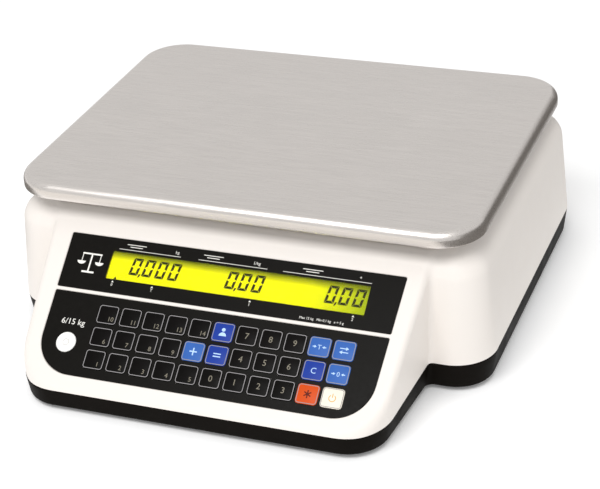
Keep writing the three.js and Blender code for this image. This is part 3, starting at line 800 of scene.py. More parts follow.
def rear_window_outline(grow):
    """The rear window's outline about its middle, moved outwards, or inwards below zero."""
    radius = max(3 + grow, 0.8)
    return rectangle(0, 0, REAR_WINDOW[0] + 2 * grow, REAR_WINDOW[1] + 2 * grow, radius)


def inlet_outline(grow):
    radius = max(2 + grow, 0.5)
    return rectangle(0, 0, INLET_FLANGE[0] + 2 * grow, INLET_FLANGE[1] + 2 * grow, radius)


def cover_cutters():
    """Everything that the top cover is cut by, besides its hollow and the parting line."""
    through = WALL + 3
    on_slope = [
        recess(display_panel_outline),
        recess(keypad_panel_outline),
        slab(window_outline(1.5), -through, 0),
        slab(circle(LEVEL_X, -LEVEL_S, LEVEL_RADIUS + GAP), -through, 0),
    ]
    for s in KEY_ROWS:
        on_slope.append(slab(rectangle(KEY_MIDDLE_X, -s, KEY_SPAN + 12, 11), -through, 0))
    display, inlet = rear_place(0, REAR_WINDOW_Z), rear_place(INLET_X, INLET_Z)
    on_rear = [
        (display, recess(rear_window_outline)),
        (display, slab(rear_window_outline(-5), -through, 0)),
        (inlet, recess(inlet_outline)),
        (inlet, slab(rectangle(0, 0, *INLET_OPENING), -through, 0)),
    ]
    column = rectangle(COLUMN_X, PLATTER_MIDDLE_Y, *COLUMN_HOLE, 4)
    cutters = [placed(part, SLOPE_FRAME) for part in on_slope]
    cutters += [placed(part, place) for place, part in on_rear]
    return [*cutters, slab(column, DECK - 2 * WALL, DECK + 5)]


def cover_collar():
    """A low wall on the deck that keeps spills out of the column's hole."""
    width, depth = COLUMN_HOLE
    outer = rectangle(COLUMN_X, PLATTER_MIDDLE_Y, width + 5, depth + 5, 6)
    return slab(outer, DECK - 1, DECK + 1)


def capped(distance, floor):
    """A distance function cut off flat at the given height."""
    return lambda x, y, z: np.maximum(distance(x, y, z), floor - z)


def add_top_cover():
    """The cover: outer skin less hollow, cut at the parting line, with all its openings."""
    left, front, under = -BOX_HALF_WIDTH - 4, CONSOLE_FRONT - 4, PARTING_FRONT - 6
    high = (BOX_HALF_WIDTH + 4, BOX_REAR + 4, DECK + 4)
    skin = capped(housing_distance, under + 2)
    outer = Form().add(surface_net(skin, (left, front, under), high, OUTER_GRID))
    hollow = capped(lambda x, y, z: housing_distance(x, y, z) + WALL, under - 2)
    inner = Form().add(surface_net(hollow, (left, front, under - 8), high, INNER_GRID))
    mesh = carve(outer, [cover_collar()], [inner, below_parting(), *cover_cutters()])
    piece("top_cover_shell", mesh, "housing", [WHITE], ["top_cover"], smooth=32)


# ---- Base --------------------------------------------------------------------------------

FEET = ("front_left", "front_right", "rear_left", "rear_right")
FOOT_BOSS_RADIUS, FOOT_BOSS_TOP = 16.2, 12.2
FOOT_POCKET_RADIUS, FOOT_POCKET_ROOF = 13.2, 9.2
FOOT_WHEEL_RADIUS = 12
FOOT_WHEEL_LOW, FOOT_WHEEL_TOP = 2.7, 8.2
STUD_RADIUS = 4
NUT_RADIUS, NUT_TOP = 8, 20
FLOOR_RIB_WIDTH, FLOOR_RIB_TOP = 2, 13
LONG_RIBS_X, LONG_RIB_MIDDLE, LONG_RIB_LENGTH = (-84, 84), 40, 236
CROSS_RIBS_Y = (-10, -78)
SCREW_HOLE_RADIUS = 4.2
SCREW_PLACES = [(-150, 20), (150, -50), (-150, 96), (150, 112), (0, -158), (0, 160)]
SCREW_SINK = 2.2
VENT_BANK_X, VENT_Y = 34, 126
VENT_SLOT = (2, 26)
VENT_PITCH = 5.2
HATCH_CENTRE = (124, 45)
HATCH_SIZE = (64, 112)
HATCH_SINK = 1.4


def foot_centre(place):
    low, high = millimetre_box(f"foot_pad_{place}")
    return (low.x + high.x) / 2, (low.y + high.y) / 2


def footprint(inset):
    """The housing's outline, box and console together, moved inwards."""
    y = BOX_FRONT + inset
    front = CONSOLE_FRONT + inset
    side = CONSOLE_HALF_REAR - inset * math.hypot(1, CONSOLE_TAPER) + CONSOLE_TAPER * inset
    nose = side - CONSOLE_TAPER * (y - front)
    half, rear = BOX_HALF_WIDTH - inset, BOX_REAR - inset
    corners = [
        (nose, front, CONSOLE_CORNER - inset),
        (side, y, CONSOLE_FILLET + inset),
        (half, y, BOX_CORNER - inset),
        (half, rear, BOX_CORNER - inset),
    ]
    mirrored = [(-x, py, radius) for x, py, radius in reversed(corners)]
    return outline(corners + mirrored, steps=14)


def base_ring(z, wall=0.0):
    """The base's outline at a height, which a slanting top edge may change along it."""
    heights = np.broadcast_to(z, (len(footprint(0)),))
    inset = BASE_TAPER * (PARTING_BOX - heights) + wall
    near, far = footprint(0), footprint(10)
    points = near + (far - near) * (inset / 10)[:, None]
    return np.column_stack([points, heights])


def parting_heights(drop):
    """The height of the parting line above each point of the footprint."""
    share = (footprint(0)[:, 1] - CONSOLE_FRONT) / (BOX_FRONT - CONSOLE_FRONT)
    return PARTING_FRONT + (PARTING_BOX - PARTING_FRONT) * np.clip(share, 0, 1) - drop


def base_tray(edge=2.2):
    """The open tray: rounded under its outer edge, and hollow above its floor."""
    under = BASE_LOW.z
    rings = []
    for k in range(5):
        turn = math.pi / 2 * k / 4
        rings.append(base_ring(under + edge * (1 - math.cos(turn)), edge * (1 - math.sin(turn))))
    top = parting_heights(GAP)
    rings += [base_ring(top - 0.4), base_ring(top, 0.4)]
    rings += [base_ring(top, WALL - 0.4), base_ring(top - 0.4, WALL)]
    rings += [base_ring(under + WALL + 1, WALL), base_ring(under + WALL, WALL + 1)]
    return loft(rings)


def vent_slots():
    """Two banks of slots in the floor, under the electronics."""
    low, high = BASE_LOW.z - 1, BASE_LOW.z + WALL + 1
    banks = (-VENT_BANK_X, VENT_BANK_X)
    places = [bank + k * VENT_PITCH for bank in banks for k in range(-4, 5)]
    return [slab(rectangle(x, VENT_Y, *VENT_SLOT, 1, 3), low, high) for x in places]


def floor_parts():
    """What the tray's floor gains, then what it loses: bosses and ribs, pockets and slots."""
    under, inside = BASE_LOW.z, BASE_LOW.z + 1
    below = under - 1
    centres = [foot_centre(place) for place in FEET]
    raised, cut = [], []
    for x, y in centres:
        raised.append(slab(circle(x, y, FOOT_BOSS_RADIUS), inside, FOOT_BOSS_TOP))
        raised.append(slab(circle(x, y, NUT_RADIUS), inside, NUT_TOP))
    span = LONG_RIBS_X[1] - LONG_RIBS_X[0]
    ribs = [(x, LONG_RIB_MIDDLE, FLOOR_RIB_WIDTH, LONG_RIB_LENGTH) for x in LONG_RIBS_X]
    ribs += [(0, y, span, FLOOR_RIB_WIDTH) for y in CROSS_RIBS_Y]
    raised += [slab(rectangle(*rib), inside, FLOOR_RIB_TOP) for rib in ribs]
    for x, y in centres:
        cut.append(slab(circle(x, y, FOOT_POCKET_RADIUS), below, FOOT_POCKET_ROOF))
        cut.append(slab(circle(x, y, STUD_RADIUS + GAP), below, NUT_TOP + 1))
    for x, y in SCREW_PLACES:
        cut.append(slab(circle(x, y, SCREW_HOLE_RADIUS), below, under + SCREW_SINK))
    hatch = rectangle(*HATCH_CENTRE, HATCH_SIZE[0] + 1, HATCH_SIZE[1] + 1, 4)
    cut += [slab(hatch, below, under + HATCH_SINK), *vent_slots()]
    return raised, cut


def add_base():
    """The base tray, its battery hatch and the six screws that hold the cover to it."""
    mesh = carve(base_tray(), *floor_parts())
    piece("base_tray", mesh, "housing", [BLACK], ["base_cover"], smooth=32)
    add_hatch()
    seat = BASE_LOW.z + SCREW_SINK - 0.2
    for k, (x, y) in enumerate(SCREW_PLACES, 1):
        place = Matrix.Translation((x, y, seat)) @ Matrix.Rotation(math.pi, 4, "X")
        head = Form().add(screw_head(3.6, 1.4), place=place)
        piece(f"case_screw_{k}", head, "housing", [ZINC])


def add_hatch():
    """The battery hatch: a lid let into the underside, with a finger notch and grip grooves."""
    under = BASE_LOW.z
    x, y = HATCH_CENTRE
    width, depth = HATCH_SIZE

    def ring(inset):
        """The lid's outline as it is before it is turned upside down, which mirrors Y."""
        return rectangle(x, -y, width - 2 * inset, depth - 2 * inset, 3.5)

    cuts = [slab(rectangle(x, y - 46, 22, 9, 4), under - 1, under + 0.7)]
    for k in range(5):
        groove = rectangle(x, y + 22 + 5 * k, 40, 1.6, 0.8, 3)
        cuts.append(slab(groove, under - 1, under + 0.5))
    lid = placed(rounded_slab(ring, -1.2, -0.1, 0.4), upside_down(under))
    mesh = carve(lid, cuts=cuts)
    piece("battery_hatch", mesh, "housing", [BLACK])


def upside_down(height):
    """A frame whose Z points down, with its origin at the given height."""
    return Matrix.Translation((0, 0, height)) @ Matrix.Diagonal((1, -1, -1, 1))


def screw_head(radius, height, cross=0.8):
    """A pan head with a cross-shaped recess, standing on z = 0."""
    profile = [(radius, 0), (radius, height * 0.45), (radius * 0.9, height * 0.75)]
    profile += [(radius * 0.62, height)]
    cutter = slab(plus(radius * 0.6, cross), height * 0.4, height + 1)
    return as_part(carve(lathe(profile, 32), cuts=[cutter]))


# ---- Platter and weighing train ----------------------------------------------------------


def platter_ring(inset, z):
    """The platter's outline moved inwards, at a height."""
    half, front, rear = PLATTER_HIGH.x - inset, PLATTER_LOW.y + inset, PLATTER_HIGH.y - inset
    radius = PLATTER_CORNER - inset
    corners = [(-half, front), (half, front), (half, rear), (-half, rear)]
    return at_height(outline([(x, y, radius) for x, y in corners], steps=24), z)


def add_platter():
    """One pressed sheet: flat top, rolled edge, short skirt and a hemmed lower rim."""
    hem = PLATTER_SHEET / 2
    hem_middle = PLATTER_LOW.z + hem
    rim = []
    for turn in np.linspace(math.pi, 0, 7):
        rim.append(platter_ring(hem - hem * math.cos(turn), hem_middle - hem * math.sin(turn)))
    inside = rolled_edge(PLATTER_SHEET)[::-1]
    rings = [*inside, platter_ring(PLATTER_SHEET, hem_middle), *rim, *rolled_edge(0)]
    skin = Form().add(loft(rings))
    piece("platter_tray", skin, "platter", [STEEL], ["platter"], smooth=50)


def rolled_edge(depth, steps=8):
    """Rings of the rolled edge, from skirt to flat top, at a depth under its outer face."""
    radius = PLATTER_EDGE - depth
    middle = PLATTER_HIGH.z - PLATTER_EDGE
    turns = [math.pi / 2 * k / steps for k in range(steps + 1)]
    return [
        platter_ring(depth + radius * (1 - math.cos(turn)), middle + radius * math.sin(turn))
        for turn in turns
    ]


def arm_outline(turn, tip=6, root=12):
    """A spider arm in plan, running from post to post and widest at the hub."""
    reach = math.hypot(*SPIDER_REACH)
    half = [(-reach, -tip, 4), (0, -root, 40), (reach, -tip, 4)]
    points = outline(half + [(-x, -y, radius) for x, y, radius in half], steps=5)
    c, s = math.cos(turn), math.sin(turn)
    return points @ np.array([[c, s], [-s, c]]) + (0, PLATTER_MIDDLE_Y)


def add_spider():
    """The cast spider under the platter, with a rubber buffer on each post."""
    under = DECK + 2
    arm_top = under + SPIDER_ARM_HEIGHT
    bolt_seat = arm_top - 5
    post_top = SPIDER_HIGH.z - BUFFER_HEIGHT
    reach_x, reach_y = SPIDER_REACH
    posts = [(i * reach_x, PLATTER_MIDDLE_Y + j * reach_y) for i in (-1, 1) for j in (-1, 1)]
    angle = math.atan2(reach_y, reach_x)
    column = rectangle(COLUMN_X, PLATTER_MIDDLE_Y, COLUMN_WIDTH, COLUMN_DEPTH, 3)
    joins = [slab(arm_outline(turn), under, arm_top) for turn in (angle, -angle)]
    joins.append(slab(column, SPIDER_LOW.z, arm_top - 1))
    joins += [slab(circle(x, y, SPIDER_POST_RADIUS), under, post_top) for x, y in posts]
    pockets = [rectangle(x, PLATTER_MIDDLE_Y, *SPIDER_POCKET, 4) for x in SPIDER_POCKETS_X]
    cuts = [slab(pocket, under + 3, arm_top + 1) for pocket in pockets]
    for x in SPIDER_BOLTS_X:
        cuts.append(slab(circle(x, PLATTER_MIDDLE_Y, 5), bolt_seat, arm_top + 1))
    hub = rectangle(0, PLATTER_MIDDLE_Y, *SPIDER_HUB, 8)
    mesh = carve(slab(hub, under, arm_top), joins, cuts)
    piece("spider_casting", mesh, "weighing_spider", [CAST], ["platter_support"])
    profile = [(9, 0), (9.2, 1), (8.6, 2.1), (7.2, BUFFER_HEIGHT)]
    for k, (x, y) in enumerate(posts, 1):
        buffer = Form().add(lathe(profile), place=Matrix.Translation((x, y, post_top)))
        piece(f"platter_buffer_{k}", buffer, "weighing_spider", [RUBBER])
    for k, x in enumerate(SPIDER_BOLTS_X, 1):
        place = Matrix.Translation((x, PLATTER_MIDDLE_Y, bolt_seat))
        bolt = Form().add(socket_head(4.4, 4.2), place=place)
        piece(f"spider_bolt_{k}", bolt, "weighing_spider", [ZINC])


def socket_head(radius, height):
    """A cap screw's head with a six-sided socket, standing on z = 0."""
    profile = [(radius, 0), (radius, height * 0.86), (radius * 0.9, height)]
    cutter = slab(circle(0, 0, radius * 0.55, 6), height * 0.4, height + 1)
    return as_part(carve(lathe(profile, 36), cuts=[cutter]))


# ---- Feet --------------------------------------------------------------------------------


def thread(radius, low, high, pitch=1.25, depth=0.55, steps=28):
    """A screw thread as one skin: its radius rises and falls along a helix."""
    turns = np.arange(steps) / steps
    rings = []
    for z in np.arange(low, high + 1e-6, pitch / 6):
        phase = (z / pitch - turns) % 1
        rings.append(polar_ring(turns, radius - depth * np.abs(2 * phase - 1), z))
    return loft(rings)


def polar_ring(turns, radii, z):
    """A level ring with a radius of its own at each share of a full turn."""
    angles = 2 * np.pi * turns
    return at_height(np.column_stack([radii * np.cos(angles), radii * np.sin(angles)]), z)


def knurled(radius, low, high, lobes=24, depth=0.9):
    """A gripping wheel with rounded lobes and softened rims."""
    steps = lobes * 8
    turns = np.arange(steps) / steps
    wave = depth * (0.5 - 0.5 * np.cos(2 * np.pi * lobes * turns)) ** 0.7
    lower = [(0.9, low), (0.3, low + 0.5), (0, low + 1)]
    upper = [(inset, low + high - z) for inset, z in reversed(lower)]
    return loft([polar_ring(turns, radius - inset - wave, z) for inset, z in lower + upper])


def add_feet():
    """Each foot is a threaded stud with a gripping wheel, and a rubber sole under it."""
    sole = [(8.2, 0), (9.6, 0), (10.2, 0.5), (10.4, 1.3), (10.1, 2.1), (9.4, 2.4)]
    for place in FEET:
        centre = Matrix.Translation((*foot_centre(place), 0))
        screw_node, pad_node = f"foot_screw_{place}", f"foot_pad_{place}"
        stud_top = millimetre_box(screw_node)[1].z
        screw = Form()
        screw.add(knurled(FOOT_WHEEL_RADIUS, FOOT_WHEEL_LOW, FOOT_WHEEL_TOP), 0, centre)
        screw.add(thread(STUD_RADIUS, FOOT_WHEEL_TOP + 0.01, stud_top), 1, centre)
        finishes = [BLACK, ZINC]
        piece(f"foot_wheel_{place}", screw, screw_node, finishes, [screw_node])
        pad = Form().add(lathe(sole), place=centre)
        piece(f"foot_sole_{place}", pad, pad_node, [RUBBER], [pad_node])


# ---- Console: panels, display, level -----------------------------------------------------

KEY_NAMES = (
    ("preset_10", "preset_11", "preset_12", "preset_13", "preset_14", "user",
     "digit_7", "digit_8", "digit_9", "tare", "change"),
    ("preset_6", "preset_7", "preset_8", "preset_9", "add", "fixed_price",
     "digit_4", "digit_5", "digit_6", "clear", "zero"),
    ("preset_1", "preset_2", "preset_3", "preset_4", "preset_5", "digit_0",
     "digit_1", "digit_2", "digit_3", "total", "on_off"),
)


def key_centres():
    """Every key's x and its distance down the slope, row by row."""
    columns = range(len(KEY_NAMES[0]))
    return [(KEY_FIRST_X + KEY_PITCH * column, s) for s in KEY_ROWS for column in columns]


def key_outline(x, y, grow):
    return rectangle(x, y, KEY_WIDTH + 2 * grow, KEY_HEIGHT + 2 * grow, KEY_CORNER + grow, 5)


def add_panels():
    """The two printed panels: one around the display window, one around keys and level."""
    low, high = -PANEL_SINK - PANEL_THICKNESS, -PANEL_SINK
    display = placed(pane(display_panel_outline(0), [window_outline(0)], low, high), SLOPE_FRAME)
    piece("display_film", display, "housing", [FILM], ["display_panel"])
    holes = [key_outline(x, -s, 0.2) for x, s in key_centres()]
    holes.append(circle(LEVEL_X, -LEVEL_S, LEVEL_RADIUS + 0.25))
    keypad = placed(pane(keypad_panel_outline(0), holes, low, high), SLOPE_FRAME)
    piece("keypad_film", keypad, "housing", [FILM], ["keypad_panel"])


def nought_bars(width, height, stroke, lean, gap=0.16):
    """The six lit bars of a nought, as leaning outlines about its middle."""
    w, h, t = width / 2, height / 2, stroke
    level = [(-w + gap, h), (-w + t + gap, h - t), (w - t - gap, h - t), (w - gap, h)]
    upright = [(w, h - gap), (w - t, h - t - gap), (w - t, t / 2 + gap), (w, gap)]
    bars = [[(x, side * y) for x, y in level] for side in (1, -1)]
    bars += [[(i * x, j * y) for x, y in upright] for i in (1, -1) for j in (1, -1)]
    return [np.array([(x + y * lean, y) for x, y in ring]) for ring in bars]


def counter_clockwise(points):
    x, y = points[:, 0], points[:, 1]
    area = np.sum(x * np.roll(y, -1) - np.roll(x, -1) * y)
    return points if area > 0 else points[::-1]


def reading(decimals, right, middle, pitch, size, stroke=1.75, lean=0.14):
    """A reading of nought: a nought, a point and its decimals, ending at the right."""
    width, height = size
    bars = nought_bars(width, height, stroke, lean)
    places = [right - width / 2 - pitch * k for k in range(decimals + 1)]
    rings = [ring + (x, middle) for x in places for ring in bars]
    point = np.array([(-0.5, 1.3), (-1.0, -1.4), (0.1, -0.7), (0.9, 1.3)])
    x = right - pitch * decimals + (pitch - width) / 2 - height / 2 * lean
    rings.append(point + (x, middle - height / 2))
    return [counter_clockwise(ring) for ring in rings]


DIGIT_SIZE = (6.6, 12.4)
DIGIT_PITCH = 9.4
DIGIT_S = 18.2

# Each reading of nought: its number of decimals and the x that it ends at.
FRONT_READINGS = ((3, -33.4), (2, 26.4), (2, 96.2))
REAR_READINGS = ((3, -28), (2, 22), (2, 70))
REAR_DIGIT_SIZE = (6.2, 12)
REAR_DIGIT_PITCH = 8.6
CRYSTAL_BACK, CRYSTAL_FRONT, CRYSTAL_FACE = -8, -4, -1.5
FIGURES_LIFT = (0.02, 0.1)


def add_front_display():
    """The crystal in its frame, the clear window over it, and the lit figures between them."""
    centre = slope_place(WINDOW_CENTRE_X, WINDOW_CENTRE_S)
    # The last of the three colours is the painted shade along the crystal's top edge, under the
    # window's rim.
    lit = backlit("crystal_front", screen_colour(242, 236, 0), screen_colour(158, 172, 14),
                  screen_colour(92, 98, 8), centre, WINDOW_WIDTH / 2, WINDOW_HEIGHT / 2)
    holder = rectangle(0, 0, WINDOW_WIDTH + 8, WINDOW_HEIGHT + 8, 1)
    panel = rectangle(0, 0, WINDOW_WIDTH + 2, WINDOW_HEIGHT + 2, 0.5)
    module = Form().add(slab(holder, CRYSTAL_BACK, CRYSTAL_FRONT), 1, centre)
    module.add(slab(panel, CRYSTAL_FRONT + 0.01, CRYSTAL_FACE), 0, centre)
    piece("front_crystal", module, "housing", [lit, INLET_BLACK], ["front_lcd"])
    window = placed(slab(window_outline(-0.1), -0.75, -PANEL_SINK), SLOPE_FRAME)
    piece("display_lens", window, "housing", [GLASS], ["display_window"])
    rings = []
    for decimals, right in FRONT_READINGS:
        rings += reading(decimals, right, -DIGIT_S, DIGIT_PITCH, DIGIT_SIZE)
    rings.append(np.array([(-1.1, -0.9), (1.1, -0.9), (0, 1.0)]) + (-77.5, -28))
    figures = raised_figures(rings, CRYSTAL_FACE, SLOPE_FRAME)
    piece("front_crystal_figures", figures, "housing", [CRYSTAL])


def raised_figures(rings, face, place):
    """Outlines standing a hair above a crystal's face."""
    low, high = (face + lift for lift in FIGURES_LIFT)
    form = Form()
    for ring in rings:
        form.add(slab(ring, low, high), place=place)
    return form


def add_level():
    """A white cup with a raised rim, a grey centre ring and a pale bubble."""
    place = slope_place(LEVEL_X, LEVEL_S)
    face = -0.35
    profile = [(LEVEL_RADIUS, -9), (LEVEL_RADIUS, -0.6), (LEVEL_RADIUS - 0.5, -0.1)]
    profile += [(LEVEL_RADIUS - 1.2, -0.1), (LEVEL_RADIUS - 1.5, face)]
    cup = Form().add(lathe(profile, 64), 0, place)
    outer, inner = circle(0, 0, 2.3, 40), circle(0, 0, 2.05, 40)
    cup.add(pane(outer, [inner], face + 0.01, face + 0.07), 1, place)
    bubble = [(1.4, face + 0.01), (1.3, face + 0.13), (0.9, face + 0.21), (0.4, face + 0.24)]
    cup.add(lathe(bubble, 32), 2, place @ Matrix.Translation((0.35, 0.25, 0)))
    piece("level_cup", cup, "housing", [PALE, INK_GREY, INK_WHITE], ["spirit_level"])


# ---- Keys and their legends --------------------------------------------------------------

INK_LOW, INK_HIGH = -0.02, 0.035
FILM_INK = (-PANEL_SINK - 0.02, -PANEL_SINK + 0.03)

# Marks on the films: places along x, and words with x, distance down the slope and height.
FIELD_RULES = ((-80, -35), (-22, 27), (38, 99))
FIELD_TITLES = (-68, -12, 58)
FIELD_UNITS = (("kg", -38), ("1/kg", 19), ("+", 91))
POINTERS = (("0", -78), ("T", -49), ("1", 21), ("2", 92))
CAPACITY_LINE = ("Max 15 kg   Min 0.1 kg   e = 5 g", 72, 36.9, 1.7)
CAPACITY_MARK = ("6/15 kg", -97, 63, 4.2)


def arrow(tail, tip, y, size=1.9):
    """A short arrow along X."""
    way = 1 if tip > tail else -1
    neck = tip - way * size * 0.8
    ring = [(tail, y - 0.3), (neck, y - 0.3), (neck, y - size / 2), (tip, y), (neck, y + size / 2),
            (neck, y + 0.3), (tail, y + 0.3)]
    return np.array(ring)


def star(reach, stroke, arms=6):
    """An asterisk as one outline."""
    notch = stroke / 2 / math.sin(math.pi / arms)
    ring = []
    for k in range(arms):
        turn = math.pi / 2 + 2 * math.pi * k / arms
        along = Vector((math.cos(turn), math.sin(turn)))
        side = Vector((-along.y, along.x))
        ring += [tuple(along * reach - side * stroke / 2), tuple(along * reach + side * stroke / 2)]
        between = turn + math.pi / arms
        ring.append((notch * math.cos(between), notch * math.sin(between)))
    return np.array(ring)


def inked(*rings):
    return [slab(counter_clockwise(ring), INK_LOW, INK_HIGH) for ring in rings]


def figure(text, x, y, height):
    points, faces = glyphs(text, height, INK_LOW, INK_HIGH)
    return points + (x, y, 0), faces


def person():
    head = circle(0, 1.7, 1.25, 24)
    turns = np.radians(np.linspace(0, 180, 18))
    shoulders = np.stack([2.6 * np.cos(turns), -2.6 + 2.5 * np.sin(turns)], axis=1)
    return inked(head, shoulders)


def power_sign():
    return inked(arc(0, -0.2, 2.2, 0.55, 125, 415, 22), bar(0, 0.2, 0, 2.9, 0.55))


LEGENDS = {
    "user": person,
    "tare": lambda: [*inked(arrow(-4.6, -1.9, 0), arrow(4.6, 1.9, 0)), figure("T", 0, 0, 3.2)],
    "zero": lambda: [*inked(arrow(-4.6, -1.9, 0), arrow(4.6, 1.9, 0)), figure("0", 0, 0, 3.2)],
    "change": lambda: inked(arrow(-3, 3, 1.3, 2.4), arrow(3, -3, -1.3, 2.4)),
    "add": lambda: inked(plus(2.6, 0.85)),
    "fixed_price": lambda: inked(*(bar(-2.6, y, 2.6, y, 0.75) for y in (0.95, -0.95))),
    "clear": lambda: [figure("C", 0, 0, 4)],
    "total": lambda: inked(star(2.7, 0.8)),
    "on_off": power_sign,
}
KEY_FINISHES = {
    "user": (KEY_BLUE, INK_ICE, "key_blue"),
    "tare": (KEY_LIGHT_BLUE, INK_ICE, "key_light_blue"),
    "change": (KEY_LIGHT_BLUE, INK_ICE, "key_light_blue"),
    "add": (KEY_LIGHT_BLUE, INK_ICE, "key_light_blue"),
    "fixed_price": (KEY_BLUE, INK_ICE, "key_blue"),
    "clear": (KEY_BLUE, INK_ICE, "key_blue"),
    "zero": (KEY_LIGHT_BLUE, INK_ICE, "key_light_blue"),
    "total": (KEY_ORANGE, INK_DARK, "key_orange"),
    "on_off": (KEY_WHITE, INK_AMBER, "key_white"),
}


def key_legend(name):
    kind, _, number = name.rpartition("_")
    if kind == "digit":
        return [figure(number, 0, 0, 4.2)]
    if kind == "preset":
        return [figure(number, 2.9, -2.8, 3.2)]
    return LEGENDS[name]()


def add_key(name, x, s):
    """One key: a soft-edged tile with a printed border and its legend."""
    face, ink, slot = KEY_FINISHES.get(name, (KEY_BLACK, INK_DIM, "key_black"))
    tile = rounded_slab(lambda inset: key_outline(0, 0, -inset), KEY_BOTTOM, KEY_TOP, 0.3)
    key = Form().add(tile, 0, slope_place(x, s))
    top = slope_place(x, s, KEY_TOP)
    border = pane(key_outline(0, 0, -0.4), [key_outline(0, 0, -0.85)], INK_LOW, INK_HIGH)
    key.add(border, 1, top)
    for part in key_legend(name):
        key.add(part, 2, top)
    finishes = [face, INK_GREY, ink]
    piece(f"key_tile_{name}", key, f"key_{name}", finishes, [f"key_{name}"])


def add_keys():
    names = [name for row in KEY_NAMES for name in row]
    for name, (x, s) in zip(names, key_centres()):
        add_key(name, x, s)


def film_words(text, x, s, height):
    """Words printed on a panel's film, centred on x, with their foot s down the slope."""
    points, faces = glyphs(text, height, *FILM_INK)
    return points + (x, -s, 0), faces


def add_printing():
    """White marks on the display film: rules and units over the fields, and a balance sign."""
    marks = Form()

    def mark(ring):
        marks.add(slab(counter_clockwise(ring), *FILM_INK), place=SLOPE_FRAME)

    for start, end in FIELD_RULES:
        mark(bar(start, -7.4, end, -7.4, 0.35))
    for x in FIELD_TITLES:
        mark(bar(x - 7, -3.6, x + 7, -3.6, 0.5))
        mark(bar(x - 4.5, -5.2, x + 4.5, -5.2, 0.5))
    for _, x in POINTERS:
        mark(np.array([(x - 0.9, -31.8), (x + 0.9, -31.8), (x, -30.6)]))
    words = [(text, x, 4.4, 2.2) for text, x in FIELD_UNITS]
    words += [(text, x, 33.4, 2) for text, x in POINTERS]
    for line in (*words, CAPACITY_LINE):
        marks.add(film_words(*line), place=SLOPE_FRAME)
    add_balance_sign(mark)
    piece("display_film_marks", marks, "housing", [INK_WHITE])


def add_balance_sign(mark, x=-98, s=20):
    """A generic sign of a two-pan balance."""
    mark(bar(x, -s - 6.5, x, -s + 6.5, 1.1))
    mark(bar(x - 4.5, -s - 7, x + 4.5, -s - 7, 1.3))
    mark(bar(x - 7.2, -s + 6.2, x + 7.2, -s + 6.2, 1.1))
    turns = np.radians(np.linspace(180, 360, 14))
    for side in (-1, 1):
        middle = x + side * 6.6
        bowl = np.stack([middle + 3.1 * np.cos(turns), -s + 0.6 + 2.4 * np.sin(turns)], axis=1)
        mark(bowl)
        mark(bar(middle, -s + 0.6, middle, -s + 5.8, 0.5))


def add_capacity_mark():
    marks = placed(film_words(*CAPACITY_MARK), SLOPE_FRAME)
    piece("keypad_film_marks", marks, "housing", [INK_WHITE])


# ---- Back of the housing -----------------------------------------------------------------


def add_rear_display():
    """The customer's window with a dark printed border, over a lit crystal and its figures."""
    place = rear_place(0, REAR_WINDOW_Z)
    low, high, border = -1.1, -0.2, 7
    rim = pane(rear_window_outline(0), [rear_window_outline(-border)], low, high)
    window = Form().add(rim, 1, place)
    window.add(slab(rear_window_outline(-border - 0.05), low, high - 0.05), 0, place)
    piece("rear_lens", window, "housing", [SMOKED, FILM], ["rear_window"])
    # The last of the three colours is the painted shade along the crystal's top edge, under the
    # window's rim.
    lit = backlit("crystal_rear", screen_colour(246, 232, 14), screen_colour(200, 204, 34),
                  screen_colour(96, 104, 18), place, REAR_WINDOW[0] / 2, REAR_WINDOW[1] / 2)
    refinish("rear_lcd", lit)
    rings = []
    for decimals, right in REAR_READINGS:
        rings += reading(decimals, right, 0, REAR_DIGIT_PITCH, REAR_DIGIT_SIZE)
    figures = raised_figures(rings, -WALL - 1, place)
    piece("rear_crystal_figures", figures, "housing", [CRYSTAL])


def add_inlet():
    """The mains inlet: a flange with two screws, and three pins in its socket."""
    place = rear_place(INLET_X, INLET_Z)
    face, back = -GAP, -INLET_DEPTH
    floor = back + WALL
    shoulders = [(11, -7.8, 1.2), (11, 3.8, 0.8), (7, 7.8, 0.8)]
    mirrored = [(-x, y, radius) for x, y, radius in reversed(shoulders)]
    opening = outline(shoulders + mirrored, 4)
    flange = rounded_slab(lambda inset: inlet_outline(-inset), GAP - RECESS, face, 0.5)
    body = slab(rectangle(0, 0, *INLET_BODY, 1), back, face - 0.2)
    rim = slab(pushed_out(opening, 1.4), face - 1, face + 0.5)
    mesh = carve(flange, [body, rim], [slab(opening, floor, 2)])
    mesh.transform(at_scale(place))
    piece("inlet_body", mesh, "housing", [INLET_BLACK], ["power_inlet"])

    def pin_ring(inset):
        return rectangle(0, 0, 2 - inset, 4 - inset, 0.4)

    pin, pins = rounded_slab(pin_ring, floor + 0.01, face - 3, 0.6), Form()
    for x, y in INLET_PINS:
        pins.add(pin, place=place @ Matrix.Translation((x, y, 0)))
    piece("inlet_pins", pins, "housing", [ZINC])
    for k, x in enumerate(INLET_SCREWS_X, 1):
        screw = placed(screw_head(2.6, 0.9), place @ Matrix.Translation((x, 0, face)))
        piece(f"inlet_screw_{k}", screw, "housing", [ZINC])


def pushed_out(ring, grow):
    """An outline pushed outwards from its middle by about the given amount."""
    lengths = np.abs(ring).max(axis=0)
    return ring * (1 + grow / lengths)


def at_scale(place):
    """A frame in millimetres as one in metres."""
    scaled = place.copy()
    scaled.translation = scaled.translation * MM
    return scaled


# ---- Inside the housing ------------------------------------------------------------------


def refinish(name, finish):
    """Another finish on a CAD piece that keeps its own shape."""
    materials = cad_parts[name].data.materials
    materials.clear()
    materials.append(finish)


BOARD_THICKNESS = 1.6
KEY_BOARD_TOP = -3.8
STANDOFF_HEIGHT = 6
SOCKET_FLOOR, SOCKET_TOP = 1.2, 9
SOCKET_PIN_PITCH = 2.6
CELL_EYE_X, CELL_EYE_RADIUS, CELL_SLOT = 13, 7.5, 6

# On the main board, from its middle: x, y and the side or length of each part.
CHIPS = ((-38, 18, 14), (-6, 12, 20))
SOCKETS = ((-40, -22, 26), (8, -26, 34))
CAPACITORS = ((34, 16), (34, 27))
RELAY = (44, -14, 12)


